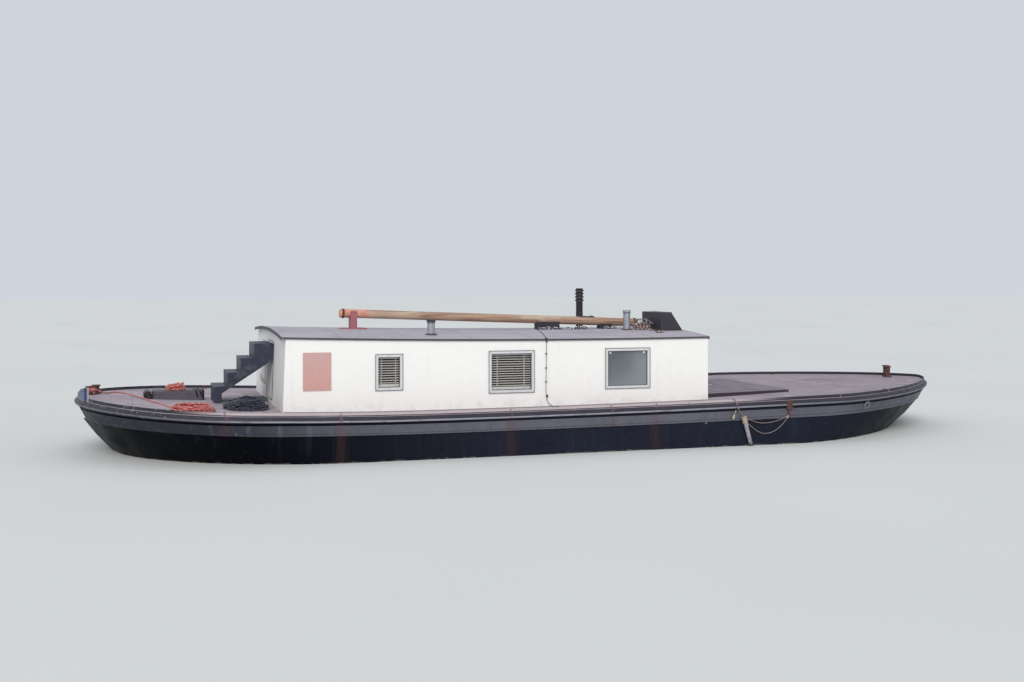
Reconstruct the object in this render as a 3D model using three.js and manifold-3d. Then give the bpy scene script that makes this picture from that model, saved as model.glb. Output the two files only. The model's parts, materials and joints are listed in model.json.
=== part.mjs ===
// Steel houseboat: a flat-bottomed canal barge with a low deckhouse, afloat at its mooring.
// Millimetres. +X to the bow, +Y to port, +Z up. Origin on the underside of the flat bottom, amidships.
import * as THREE from 'three';
import Module from 'manifold-3d';
import { mergeVertices } from 'three/addons/utils/BufferGeometryUtils.js';

const wasm = await Module();
wasm.setup();

// Hull
const HALF_BEAM = 2500;
const WATERLINE = 500;
const DECK_ABOVE_WATER = 685;
const SHEER_LOW_X = 2450;
const BILGE_RADIUS = 300;
const BOW = {
  tip: 7876, shoulder: 5519, shoulderFall: 2780, rake: 1200, rakePower: 1.5, fullness: 1.82, sheer: 193,
};
const STERN = {
  tip: -7667, shoulder: -4405, shoulderFall: -1260, rake: -1900, rakePower: 1.8, fullness: 1.5, sheer: 146,
};
const END_STEPS = 14;
const SIDE_STEPS = 10;
const GAP = 0.3;
const DECK_PLATE = 20;

// Bands along the hull: depth below the deck edge and how far each stands out
const RAIL_RADIUS = 50;
const RAIL_DROP = 60;
const STRAKE = { top: 0.9, bottom: 0.77, thickness: 12 };
const LEVELS = [0, 0.04, 0.1, 0.18, 0.27, 0.4, 0.58, STRAKE.bottom, STRAKE.top, 1];
const BAR_PROUD = 40;
const BAR_WIDTH = 90;
const BAR_CLEAR = 6;
const TOE_RAIL = { height: 48, thickness: 12, inset: 2 };
const BULWARK = { aftX: 7722, height: 205, least: 60, thickness: 25, post: 34, reach: 400 };

// Deckhouse
const HOUSE = { fore: 4880, aft: -2180, halfWidth: 2000, wall: 60, lean: 42 };
const EAVE_FORE = 1844;
const EAVE_AFT = 1761;
const EAVE_SAG = 35;
const ROOF_CAMBER = 80;
const ROOF_PLATE = 25;
const ROOF_OVERHANG = 18;
const WELL = { halfWidth: 1900, floorBottom: 200, floorPlate: 30 };

// Windows of each side wall: x of the aft and fore edge, height above water of the lower and upper edge
const WINDOWS = [
  { name: 'fore', aft: 3040, fore: 3460, low: 1030, high: 1580 },
  { name: 'middle', aft: 890, fore: 1640, low: 940, high: 1600 },
  { name: 'aft', aft: -1120, fore: -340, low: 960, high: 1610 },
];
const WINDOW_FRAME = { face: 38, proud: 12, fit: 0.5 };
const PANE = 6;
const PANE_INSET = 25;
const SHUTTER = { aft: 4150, fore: 4580, low: 1050, high: 1630, thickness: 12 };

// Doors and hatches
const DOOR = { low: 950, high: 1700, thickness: 40, fit: 6 };
const HINGE = { barrel: 12, length: 110, tab: 5, sunk: 1, reach: 90, fromEnd: 90, sides: 14 };
const FORE_DOOR = { starboard: -1250, port: -500 };
const AFT_DOOR = { starboard: 240, port: 940 };
const HOOD = {
  fore: -1770, aft: -2180, topAft: -1967, starboard: 170, port: 1000, top: 2162, plate: 20, sunk: 120,
};
const HOOD_LID = { thickness: 18, clear: 6, barrel: 9, tabReach: 90, tabWidth: 60, tabLength: 60 };
const PLATFORM = { fore: -2200, aft: -4100, foreHalf: 1650, aftHalf: 1300, height: 70 };
const AFT_HATCH = {
  fore: -2700, aft: -3400, starboard: -350, port: 350, lid: 20, fit: 6, floor: 880, barrel: 10,
};

// Gear on the roof
const POLE = {
  fore: 3720, aft: -1680, y: 150, foreHeight: 2174, aftHeight: 1961, radius: 72, bevel: 16, sides: 16,
};
const CRUTCH = {
  x: 3490, plateLength: 430, plateWidth: 300, plate: 16, sunk: 64, post: 110, arm: 26, rise: 45,
};
const CHOCKS = [
  { name: 'middle', aft: -170, fore: 250 },
  { name: 'aft', aft: -1170, fore: -930 },
];
const CHOCK_WIDTH = 150;
const VENT = { x: 2440, y: 1400, radius: 62, top: 2096, capRadius: 74, cap: 34, bevel: 8, sides: 20 };
const FLUE = { x: -1290, y: 600, radius: 62, top: 2201, capRadius: 70, cap: 40, bevel: 8, sides: 20 };
const CHIMNEY = {
  x: -810, y: -500, radius: 62, top: 2576, ring: 79, rings: 4, pitch: 60, slope: 9, band: 22, sides: 16,
};
const PIPE_SUNK = 100;
const CLEAT = { x: -1610, y: 1300, length: 190, baseLength: 110, width: 34, height: 52, horn: 20, foot: 30 };

// Gear on the deck
const STEPS = {
  fore: 5790, run: 210, starboard: -350, port: 500, plate: 25, depth: 260, foot: 120, riser: 110,
};
const STEP_HEIGHTS = [1020, 1240, 1470, 1700];
const LOCKER = { aft: 5910, fore: 6740, starboard: -400, port: 20, height: 145, corner: 90 };
const BOLLARDS = [
  { name: 'stern', x: -7250, y: -400, turn: 62, height: 210 },
  { name: 'bow', x: 7656, y: -572, turn: 70, height: 140 },
];
const BOLLARD = {
  radius: 55, spread: 130, capRadius: 72, cap: 22, plate: 14, margin: 10, sunk: 60, sides: 14,
};

// Fender pole: x, height above water and radius of its two ends, and the lanyard over the rail
const FENDER = { topX: -2563, top: 475, topRadius: 38, footX: -2735, foot: -140, footRadius: 25, sides: 12 };
const LANYARD = { radius: 8, overX: -2400, inboard: 130, clear: 16, spacing: 24 };

// Bracket on the rubbing rail that the fender's line is tied to, with a strap down to its eye
const BRACKET = { x: -3410, width: 100, proud: 8, top: -12, low: -150, strapWidth: 26, strap: 12, eye: 950 };

// Rope: each heap is a ring of the coil's outer shape
const HEAPS = [
  { name: 'black_rope_coil', x: 5330, y: 1440, inner: 120, outer: 370, height: 190, colour: 'blackRope' },
  { name: 'red_rope_coil', x: 6290, y: 1800, inner: 110, outer: 380, height: 110, colour: 'redRope' },
];
const RED_TAIL = { x: 5860, y: 1730, radius: 95, height: 60 };
const BOW_TURNS = { inner: 57, outer: 100 };
const LOCKER_COIL = { x: 6360, y: -190, inner: 70, outer: 205, height: 95 };
const ROOF_COIL = { x: -1560, y: 640, inner: 50, outer: 170, height: 120 };
const COIL = { sides: 18, sunk: 40, outerRound: 0.6, innerRound: 0.4 };

// Red line from the turns on the bow bollard to the red heap: x, y and height above the deck
const LINE_RADIUS = 12;
const LINE_SPACING = 60;
const LINE_ROUTE = [
  [7596, -469, 76], [7552, -492, 62], [7495, -570, 36], [7440, -700, 18], [7385, -850, 13],
  [7300, -950, 13], [7210, -900, 13], [7110, -690, 13], [7010, -410, 13], [6921, -146, 13],
  [6845, 140, 13], [6778, 400, 13], [6700, 640, 13], [6630, 840, 13], [6575, 1040, 13],
  [6530, 1240, 13], [6495, 1390, 13], [6477, 1468, 13],
];

// Brown line from the heap on the roof to the cleat: x, y and height above the roof
const ROOF_LINE_RADIUS = 9;
const ROOF_LINE_SPACING = 27;
const ROOF_LINE_ROUTE = [
  [-1600, 808, 10], [-1612, 870, 10], [-1650, 960, 10], [-1672, 1050, 10], [-1655, 1130, 10],
  [-1625, 1200, 10], [-1612, 1248, 14], [-1610, 1281.5, 20],
];

// Fender's line, seen from the side: x and height above the bottom of the hull. It hangs in two bights
// from the eye of the bracket to the fender pole and back
const FENDER_LINE = { radius: 5, y: 2530, spacing: 26 };
const FENDER_LINE_ROUTE = [
  [-3403, 958], [-3380, 945], [-3345, 905], [-3280, 835], [-3200, 768], [-3100, 716], [-3000, 695],
  [-2900, 703], [-2810, 742], [-2730, 800], [-2660, 857], [-2622, 890], [-2613, 913], [-2626, 932],
  [-2680, 928], [-2760, 899], [-2850, 876], [-2940, 866], [-3040, 871], [-3140, 887], [-3240, 913],
  [-3330, 946], [-3380, 966], [-3403, 974],
];

// Cable from the middle chock over the roof's edge and down the port wall to the deck: x, y and the
// height above the surface that it follows. A saddle holds it at the edge
const CABLE_RADIUS = 4;
const CABLE_SPACING = 55;
const CABLE_ON_ROOF = [
  [257, 232, 8], [300, 420, 6], [410, 900, 6], [540, 1450, 6], [640, 1850, 6], [680, 2000, 6],
];
const CABLE_ON_WALL = [
  [686, 2026, 1075], [690, 2026, 700], [696, 2026, 400], [690, 2026, 180], [660, 2027, 80],
  [600, 2030, 22], [530, 2035, 5.5], [475, 2040, 5.5],
];
const SADDLE = { x: 685, width: 30, inner: 1980, outer: 2033, above: 15, below: 45 };

const colours = {
  hull: [0x141a26, 0.45, 0.3], strake: [0x5c626b, 0.6, 0.2], rail: [0x4b4f58, 0.5, 0.3],
  deck: [0x9a9aa2, 0.8, 0.1], bulwark: [0x3c5a86, 0.25, 0.2], wall: [0xf2efea, 0.6, 0],
  foreWall: [0xd8d4d0, 0.6, 0], roof: [0xa2a0ac, 0.7, 0], frame: [0xe9e9e6, 0.5, 0],
  glass: [0x7b8891, 0.1, 0], shutter: [0xc9948c, 0.6, 0], floor: [0x8a6a48, 0.7, 0],
  door: [0xc6c3c0, 0.5, 0], hood: [0x4a4a58, 0.5, 0.2], pole: [0x9b7358, 0.7, 0],
  crutch: [0xc4706e, 0.6, 0.1], chock: [0x2f2c34, 0.8, 0], vent: [0x9fa2a8, 0.5, 0.3],
  chimney: [0x2e2f36, 0.6, 0.3], steps: [0x2b3044, 0.5, 0.1], locker: [0x77777c, 0.7, 0.1],
  platform: [0x6f6870, 0.8, 0.1], bollard: [0x6b4a3a, 0.9, 0.3], fender: [0xb4b0aa, 0.7, 0],
  blackRope: [0x17191f, 0.9, 0], redRope: [0xc4524a, 0.9, 0], brownRope: [0x7a5a52, 0.9, 0],
};

const boat = new THREE.Group();

function add(name, colour, shape) {
  const geometry = shape.isBufferGeometry ? shape : toGeometry(shape);
  const [color, roughness, metalness] = colours[colour];
  const mesh = new THREE.Mesh(geometry, new THREE.MeshStandardMaterial({ color, roughness, metalness }));
  mesh.name = name;
  boat.add(mesh);
}

// Joins and cuts
function solid(geometry) {
  const bare = geometry.clone();
  bare.deleteAttribute('normal');
  bare.deleteAttribute('uv');
  const merged = mergeVertices(bare, 1e-3);
  return new wasm.Manifold(new wasm.Mesh({
    numProp: 3,
    vertProperties: new Float32Array(merged.attributes.position.array),
    triVerts: new Uint32Array(merged.index.array),
  }));
}

function toGeometry(manifold) {
  const mesh = manifold.getMesh();
  const geometry = new THREE.BufferGeometry();
  geometry.setAttribute('position', new THREE.BufferAttribute(new Float32Array(mesh.vertProperties), 3));
  geometry.setIndex(new THREE.BufferAttribute(new Uint32Array(mesh.triVerts), 1));
  geometry.computeVertexNormals();
  return geometry;
}

// Plain shapes
function box(x0, x1, y0, y1, z0, z1) {
  const geometry = new THREE.BoxGeometry(x1 - x0, y1 - y0, z1 - z0);
  return geometry.translate((x0 + x1) / 2, (y0 + y1) / 2, (z0 + z1) / 2);
}

function extrude(outline, depth) {
  const shape = new THREE.Shape(outline.map(([a, b]) => new THREE.Vector2(a, b)));
  return new THREE.ExtrudeGeometry(shape, { depth, bevelEnabled: false });
}

// Outline in X and Z, extruded across the boat
function acrossBoat(outline, y0, y1) {
  return extrude(outline, y1 - y0).rotateX(Math.PI / 2).translate(0, y1, 0);
}

function upright(outline, z0, z1) {
  return extrude(outline, z1 - z0).translate(0, 0, z0);
}

// Body of revolution about a vertical axis, from pairs of radius and height
function turned(profile, x, y, sides = 20) {
  const points = profile.map(([radius, height]) => new THREE.Vector2(radius, height));
  return new THREE.LatheGeometry(points, sides).rotateX(Math.PI / 2).translate(x, y, 0);
}

function meshOf(positions, triangles) {
  const geometry = new THREE.BufferGeometry();
  geometry.setAttribute('position', new THREE.Float32BufferAttribute(positions.flat(), 3));
  geometry.setIndex(triangles.flat());
  geometry.computeVertexNormals();
  return geometry;
}

// Lines of the hull
function deckTop(x) {
  const end = x > SHEER_LOW_X ? BOW : STERN;
  return WATERLINE + DECK_ABOVE_WATER + end.sheer * ((x - SHEER_LOW_X) / (end.tip - SHEER_LOW_X)) ** 2;
}

function eave(x) {
  const middle = (HOUSE.fore + HOUSE.aft) / 2;
  const half = (HOUSE.fore - HOUSE.aft) / 2;
  const along = (x - HOUSE.aft) / (HOUSE.fore - HOUSE.aft);
  const sag = EAVE_SAG * (1 - ((x - middle) / half) ** 2);
  return WATERLINE + EAVE_AFT + (EAVE_FORE - EAVE_AFT) * along - sag;
}

function roofTop(x, y) {
  return eave(x) + ROOF_PLATE + ROOF_CAMBER * (1 - (y / HOUSE.halfWidth) ** 2);
}

function halfBeam(level) {
  const height = level * (WATERLINE + DECK_ABOVE_WATER);
  if (height >= BILGE_RADIUS) return HALF_BEAM;
  return HALF_BEAM - BILGE_RADIUS + Math.sqrt(BILGE_RADIUS ** 2 - (BILGE_RADIUS - height) ** 2);
}

// Tip of the bow or the stern at a level of the hull (0 the bottom, 1 the deck)
function tipAt(form, level) {
  return form.tip - form.rake * (1 - level) ** form.rakePower;
}

// Port half of the hull's outline at a level, stern tip to bow tip
function outlineAt(level) {
  const beam = halfBeam(level);
  const points = [];
  const end = (form, angle) => {
    const shoulder = form.shoulder - form.shoulderFall * (1 - level);
    const power = 2 / form.fullness;
    return [shoulder + (tipAt(form, level) - shoulder) * Math.cos(angle) ** power,
      beam * Math.sin(angle) ** power];
  };
  for (let i = 0; i <= END_STEPS; i++) points.push(end(STERN, (i / END_STEPS) * Math.PI / 2));
  const aft = points[points.length - 1][0];
  const fore = end(BOW, Math.PI / 2)[0];
  for (let i = 1; i < SIDE_STEPS; i++) points.push([aft + (fore - aft) * i / SIDE_STEPS, beam]);
  for (let i = END_STEPS; i >= 0; i--) points.push(end(BOW, (i / END_STEPS) * Math.PI / 2));
  points[0][1] = 0;
  points[points.length - 1][1] = 0;
  return points;
}

// Whole outline, clockwise seen from above: port side forward, then starboard side aft
function ringAt(level) {
  const port = outlineAt(level);
  const starboard = port.slice(1, -1).reverse().map(([x, y]) => [x, -y]);
  return port.concat(starboard);
}

// Outward direction in plan at each point of a ring
function outwardOf(ring) {
  return ring.map((_, i) => {
    const before = ring[(i + ring.length - 1) % ring.length];
    const after = ring[(i + 1) % ring.length];
    const along = [after[0] - before[0], after[1] - before[1]];
    const length = Math.hypot(...along);
    return [-along[1] / length, along[0] / length];
  });
}

// Solid between two or more rings that mirror about the centreline, lowest first
function stackedRings(rings) {
  const count = rings[0].length;
  const half = count / 2;
  const triangles = [];
  rings.slice(1).forEach((_, level) => {
    for (let i = 0; i < count; i++) {
      const a = level * count + i;
      const b = level * count + (i + 1) % count;
      triangles.push([a, a + count, b], [b, a + count, b + count]);
    }
  });
  const cap = (base, up) => {
    for (let i = 0; i < half; i++) {
      const port = [base + i, base + i + 1];
      const starboard = [base + (count - i) % count, base + (count - i - 1)];
      const faces = [[port[0], starboard[1], port[1]], [port[0], starboard[0], starboard[1]]];
      for (const face of faces) {
        if (new Set(face).size < 3) continue;
        triangles.push(up ? face : [face[0], face[2], face[1]]);
      }
    }
  };
  cap(0, false);
  cap((rings.length - 1) * count, true);
  return meshOf(rings.flat(), triangles);
}

// Band that runs round a ring, from a closed section given at each point
function bandAround(sections) {
  const sides = sections[0].length;
  const triangles = [];
  sections.forEach((_, i) => {
    const here = i * sides;
    const next = ((i + 1) % sections.length) * sides;
    for (let k = 0; k < sides; k++) {
      const m = (k + 1) % sides;
      triangles.push([here + k, here + m, next + k], [here + m, next + m, next + k]);
    }
  });
  return meshOf(sections.flat(), triangles);
}

// Solid under a wavy top: a grid in plan between two height functions
function slab(xs, ys, low, high) {
  const positions = [];
  for (const height of [low, high]) {
    for (const x of xs) for (const y of ys) positions.push([x, y, height(x, y)]);
  }
  const layer = xs.length * ys.length;
  const at = (i, j, top) => top * layer + i * ys.length + j;
  const triangles = [];
  for (let i = 0; i < xs.length - 1; i++) {
    for (let j = 0; j < ys.length - 1; j++) {
      const [a, b, c, d] = [[i, j], [i + 1, j], [i + 1, j + 1], [i, j + 1]].map(([p, q]) => at(p, q, 1));
      triangles.push([a, b, c], [a, c, d]);
      triangles.push([a - layer, c - layer, b - layer], [a - layer, d - layer, c - layer]);
    }
  }
  const wall = (p, q) => {
    const [a, b] = [at(...p, 0), at(...q, 0)];
    triangles.push([a, b, b + layer], [a, b + layer, a + layer]);
  };
  const [lastX, lastY] = [xs.length - 1, ys.length - 1];
  for (let i = 0; i < lastX; i++) {
    wall([i, 0], [i + 1, 0]);
    wall([i + 1, lastY], [i, lastY]);
  }
  for (let j = 0; j < lastY; j++) {
    wall([lastX, j], [lastX, j + 1]);
    wall([0, j + 1], [0, j]);
  }
  return meshOf(positions, triangles);
}

function range(from, to, steps) {
  return Array.from({ length: steps + 1 }, (_, i) => from + (to - from) * i / steps);
}

// What stands on the deck or the roof, or meets the roof from below, is cut to its surface
const farX = BOW.tip + 200;
const farY = HALF_BEAM + 200;
const high = 4000;
const roofHalf = HOUSE.halfWidth + ROOF_OVERHANG;
const roofGrid = [range(HOUSE.aft - ROOF_OVERHANG, HOUSE.fore + ROOF_OVERHANG, 14),
  range(-roofHalf, roofHalf, 12)];
const deckGrid = [[-farX, ...outlineAt(1).map(([x]) => x), farX], [-farY, farY]];
const belowDeck = solid(slab(...deckGrid, () => -100, (x) => deckTop(x) + GAP));
const belowRoof = solid(slab(...roofGrid, () => 0, (x, y) => roofTop(x, y) + GAP));
const aboveEaves = solid(slab(...roofGrid, (x, y) => roofTop(x, y) - ROOF_PLATE - GAP, () => high));

// Hull
const hullTop = (x) => deckTop(x) - DECK_PLATE - GAP;
const hullRing = (level) => ringAt(level).map(([x, y]) => [x, y, level * hullTop(x)]);
const hullShell = solid(stackedRings(LEVELS.map(hullRing)));
const wellAft = HOUSE.aft + HOUSE.wall;
const wellFore = HOUSE.fore - HOUSE.lean - HOUSE.wall;
const region = (x0, x1, y0, y1, z0, z1) => solid(box(x0, x1, y0, y1, z0, z1));

// Store under the aft deck, below its hatch
const hatchWell = region(AFT_HATCH.aft, AFT_HATCH.fore, AFT_HATCH.starboard, AFT_HATCH.port,
  AFT_HATCH.floor, high);

// Upright bar down the stem or the stern, outside the plating
function endBar(form, sign) {
  const tips = LEVELS.filter((level) => level <= STRAKE.bottom).map((level) => {
    const x = tipAt(form, level);
    return [x, level * hullTop(x) - (level === STRAKE.bottom ? BAR_CLEAR : 0)];
  });
  const outer = tips.map(([x, z]) => [x + sign * BAR_PROUD, z]);
  const inner = tips.map(([x, z]) => [x - sign * BAR_PROUD, z]).reverse();
  return solid(acrossBoat(outer.concat(inner), -BAR_WIDTH / 2, BAR_WIDTH / 2));
}

add('hull_bow', 'hull', hullShell.intersect(region(wellFore + GAP, farX, -farY, farY, -100, high))
  .add(endBar(BOW, 1)));
add('hull_stern', 'hull', hullShell.intersect(region(-farX, wellAft - GAP, -farY, farY, -100, high))
  .subtract(hatchWell).add(endBar(STERN, -1)));
add('hull_bottom', 'hull', hullShell.intersect(
  region(wellAft, wellFore, -WELL.halfWidth, WELL.halfWidth, -100, WELL.floorBottom)));
add('hull_side_port', 'hull', hullShell.intersect(
  region(wellAft, wellFore, WELL.halfWidth + GAP, farY, -100, high)));
add('hull_side_starboard', 'hull', hullShell.intersect(
  region(wellAft, wellFore, -farY, -WELL.halfWidth - GAP, -100, high)));

// Grey strake and half-round rubbing rail, all round the hull
function surfaceRing(level, outward) {
  const ring = ringAt(level);
  const out = outwardOf(ring);
  return ring.map(([x, y], i) => [x + out[i][0] * outward, y + out[i][1] * outward, level * hullTop(x)]);
}
const grownShell = solid(stackedRings(LEVELS.map((level) => surfaceRing(level, GAP))));
add('sheer_strake', 'strake', solid(stackedRings([
  surfaceRing(STRAKE.bottom, STRAKE.thickness), surfaceRing(STRAKE.top, STRAKE.thickness),
])).subtract(grownShell));

const deckRing = ringAt(1);
const deckOut = outwardOf(deckRing);
const railOf = (radius) => bandAround(deckRing.map(([x, y], i) => range(-90, 90, 6).map((degrees) => {
  const angle = THREE.MathUtils.degToRad(degrees);
  const out = GAP + radius * Math.cos(angle);
  const z = deckTop(x) - RAIL_DROP + radius * Math.sin(angle);
  return [x + deckOut[i][0] * out, y + deckOut[i][1] * out, z];
})));
add('rub_rail', 'rail', railOf(RAIL_RADIUS));

// Deck plating, open under the deckhouse
const deckPlate = solid(stackedRings([deckRing.map(([x, y]) => [x, y, deckTop(x) - DECK_PLATE]),
  deckRing.map(([x, y]) => [x, y, deckTop(x)])]));
const houseHole = region(wellAft, wellFore, -WELL.halfWidth, WELL.halfWidth, 0, high);
add('deck_plating', 'deck', deckPlate.subtract(houseHole).subtract(hatchWell));

// Raised plate on the port side of the bow. It rises from the tip to a post at its after end
const bulwarkPart = region(BULWARK.aftX, farX, GAP, farY, 0, high);
function bowBulwark() {
  const rim = deckRing.map((point, i) => ({ point, out: deckOut[i] }))
    .filter(({ point }) => point[0] > BULWARK.aftX - BULWARK.reach);
  const height = (x) => {
    const along = Math.min(1, Math.max(0, (x - BULWARK.aftX) / (BOW.tip - BULWARK.aftX)));
    return Math.max(BULWARK.least, BULWARK.height * Math.sqrt(1 - along ** 2));
  };
  const sections = rim.map(({ point: [x, y], out: [ox, oy] }) => {
    const [ix, iy] = [x - ox * BULWARK.thickness, y - oy * BULWARK.thickness];
    const base = WATERLINE + DECK_ABOVE_WATER;
    const top = deckTop(x) + height(x);
    return [[x, y, base], [x, y, top], [ix, iy, top], [ix, iy, base]];
  });
  const y = deckEdge(BULWARK.aftX);
  const post = region(BULWARK.aftX - BULWARK.post + GAP, BULWARK.aftX + BULWARK.post,
    y - 2 * BULWARK.post, y - BULWARK.post / 2, WATERLINE, deckTop(BULWARK.aftX) + BULWARK.height);
  return solid(strip(sections)).intersect(bulwarkPart).add(post).subtract(belowDeck);
}

// Breadth of the deck to port at a station
function deckEdge(x) {
  const edge = outlineAt(1);
  const before = edge.findLast((point) => point[0] < x);
  const after = edge.find((point) => point[0] >= x);
  return before[1] + (after[1] - before[1]) * (x - before[0]) / (after[0] - before[0]);
}

// Open run of a four-sided section, closed at both ends
function strip(sections) {
  const triangles = [];
  for (let i = 0; i < sections.length - 1; i++) {
    for (let k = 0; k < 4; k++) {
      const m = (k + 1) % 4;
      const [a, b, c, d] = [i * 4 + k, i * 4 + m, (i + 1) * 4 + m, (i + 1) * 4 + k];
      triangles.push([a, b, d], [b, c, d]);
    }
  }
  const end = (sections.length - 1) * 4;
  triangles.push([0, 2, 1], [0, 3, 2], [end, end + 1, end + 2], [end, end + 2, end + 3]);
  return meshOf(sections.flat(), triangles);
}
add('bow_bulwark', 'bulwark', bowBulwark());

// Low upright flat bar round the edge of the deck, up to the raised plate
const toeRail = bandAround(deckRing.map(([x, y], i) => {
  const at = (inward, z) => [x - deckOut[i][0] * inward, y - deckOut[i][1] * inward, z];
  const [outer, inner] = [TOE_RAIL.inset, TOE_RAIL.inset + TOE_RAIL.thickness];
  const [foot, top] = [deckTop(x) - DECK_PLATE, deckTop(x) + TOE_RAIL.height];
  return [at(inner, foot), at(outer, foot), at(outer, top), at(inner, top)];
}));
const bulwarkClear = region(BULWARK.aftX - BULWARK.post, farX, 0, farY, 0, high);
add('toe_rail', 'rail', solid(toeRail).subtract(belowDeck).subtract(bulwarkClear));

// Deckhouse
add('cabin_floor', 'floor', box(wellAft + GAP, wellFore - GAP, -WELL.halfWidth + GAP, WELL.halfWidth - GAP,
  WELL.floorBottom + GAP, WELL.floorBottom + WELL.floorPlate));

const wallInner = HOUSE.halfWidth - HOUSE.wall;
const foreHeight = eave(HOUSE.fore) - deckTop(HOUSE.fore);
const foreFace = (z) => HOUSE.fore - HOUSE.lean * (z - deckTop(HOUSE.fore)) / foreHeight;

function sideWall(sign) {
  const [y0, y1] = sign > 0 ? [wallInner, HOUSE.halfWidth] : [-HOUSE.halfWidth, -wallInner];
  let wall = region(HOUSE.aft, HOUSE.fore, y0, y1, WATERLINE, high).subtract(belowDeck).subtract(aboveEaves);
  wall = wall.intersect(solid(acrossBoat([
    [HOUSE.aft, 0], [foreFace(0), 0], [foreFace(high), high], [HOUSE.aft, high]], -farY, farY)));
  for (const w of WINDOWS) {
    const fit = WINDOW_FRAME.fit;
    wall = wall.subtract(region(w.aft - fit, w.fore + fit, y0 - 10, y1 + 10,
      WATERLINE + w.low - fit, WATERLINE + w.high + fit));
  }
  return wall;
}

// Wall across the boat, between faces that lean with the fore end or stand upright
function endWall(outline) {
  const wall = solid(acrossBoat(outline, -wallInner + GAP, wallInner - GAP));
  return wall.subtract(belowDeck).subtract(aboveEaves);
}

function doorway(door, x0, x1) {
  return region(x0, x1, door.starboard, door.port, WATERLINE + DOOR.low, WATERLINE + DOOR.high);
}

add('wall_port', 'wall', sideWall(1));
add('wall_starboard', 'wall', sideWall(-1));
const foreOutline = [[foreFace(0), 0], [foreFace(high), high],
  [foreFace(high) - HOUSE.wall, high], [foreFace(0) - HOUSE.wall, 0]];
const aftOutline = [[HOUSE.aft, 0], [HOUSE.aft + HOUSE.wall, 0],
  [HOUSE.aft + HOUSE.wall, high], [HOUSE.aft, high]];
const foreDoorway = doorway(FORE_DOOR, HOUSE.fore - 5 * HOUSE.wall, farX);
const aftDoorway = doorway(AFT_DOOR, -farX, HOUSE.aft + 5 * HOUSE.wall);
add('wall_fore', 'foreWall', endWall(foreOutline).subtract(foreDoorway));
add('wall_aft', 'foreWall', endWall(aftOutline).subtract(aftDoorway));

const companionway = region(HOUSE.aft + HOUSE.wall + HOOD.plate, HOOD.fore - HOOD.plate,
  HOOD.starboard + HOOD.plate, HOOD.port - HOOD.plate, 0, high);
const roofPlate = solid(slab(...roofGrid, (x, y) => roofTop(x, y) - ROOF_PLATE, roofTop));
add('roof', 'roof', roofPlate.subtract(companionway));

// Windows: a frame that stands proud of the wall, and one pane
for (const [side, sign] of [['port', 1], ['starboard', -1]]) {
  for (const w of WINDOWS) {
    const [z0, z1] = [WATERLINE + w.low, WATERLINE + w.high];
    const across = (inner, outer) => (sign > 0 ? [inner, outer] : [-outer, -inner]);
    const face = WINDOW_FRAME.face;
    const frame = region(w.aft, w.fore, ...across(wallInner, HOUSE.halfWidth + WINDOW_FRAME.proud), z0, z1)
      .subtract(region(w.aft + face, w.fore - face, -farY, farY, z0 + face, z1 - face));
    add(`window_frame_${w.name}_${side}`, 'frame', frame);
    const outer = HOUSE.halfWidth - PANE_INSET;
    add(`window_pane_${w.name}_${side}`, 'glass', box(w.aft + face + GAP, w.fore - face - GAP,
      ...across(outer - PANE, outer), z0 + face + GAP, z1 - face - GAP));
  }
  const [y0, y1] = [HOUSE.halfWidth + GAP, HOUSE.halfWidth + SHUTTER.thickness];
  add(`shutter_${side}`, 'shutter', box(SHUTTER.aft, SHUTTER.fore, sign > 0 ? y0 : -y1, sign > 0 ? y1 : -y0,
    WATERLINE + SHUTTER.low, WATERLINE + SHUTTER.high));
}

// Door leaf in the plane of its wall, with two hinge barrels along the edge that it turns on.
// face gives the wall's outer face at a height, out is +1 for a door that opens forward
function door(place, hinge, face, out) {
  const [low, top] = [WATERLINE + DOOR.low + DOOR.fit, WATERLINE + DOOR.high - DOOR.fit];
  const inward = hinge === place.port ? -1 : 1;
  const layer = (near, far, y0, y1) => {
    const outline = [[face(low) + out * near, low], [face(low) + out * far, low],
      [face(top) + out * far, top], [face(top) + out * near, top]];
    const ordered = out > 0 ? outline : outline.reverse();
    return solid(acrossBoat(ordered, Math.min(y0, y1), Math.max(y0, y1)));
  };
  const turn = -Math.atan2(face(low) - face(top), top - low);
  const gapAtWall = layer(-farX, GAP, hinge - inward * HINGE.reach, hinge + inward * DOOR.fit);
  let leaf = layer(-DOOR.thickness, 0, place.starboard + DOOR.fit, place.port - DOOR.fit);
  for (const middle of [low + HINGE.fromEnd, top - HINGE.fromEnd]) {
    const barrel = new THREE.CylinderGeometry(HINGE.barrel, HINGE.barrel, HINGE.length, HINGE.sides)
      .rotateX(Math.PI / 2).rotateY(turn)
      .translate(face(middle) + out * (HINGE.barrel + GAP), hinge, middle);
    const height = region(-farX, farX, -farY, farY, middle - HINGE.length / 2, middle + HINGE.length / 2);
    const tab = layer(-HINGE.sunk, HINGE.tab, hinge, hinge + inward * HINGE.reach);
    leaf = leaf.add(solid(barrel)).add(tab.intersect(height).subtract(gapAtWall));
  }
  return leaf;
}
add('fore_door', 'door', door(FORE_DOOR, FORE_DOOR.starboard, foreFace, 1));
add('aft_door', 'door', door(AFT_DOOR, AFT_DOOR.port, () => HOUSE.aft, -1));

// Hood over the aft companionway. Its back slopes, and the lid lies in that slope
const hoodTop = WATERLINE + HOOD.top;
const hoodFoot = roofTop(HOOD.aft, HOOD.starboard) - HOOD.sunk;
const hoodSlope = (HOOD.topAft - HOOD.aft) / (hoodTop - roofTop(HOOD.aft, HOOD.port));
const hoodOut = [-1, hoodSlope].map((part) => part / Math.hypot(1, hoodSlope));
const hoodBack = (z, out) => [
  HOOD.topAft - hoodSlope * (hoodTop - z) + hoodOut[0] * out, z + hoodOut[1] * out];

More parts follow.
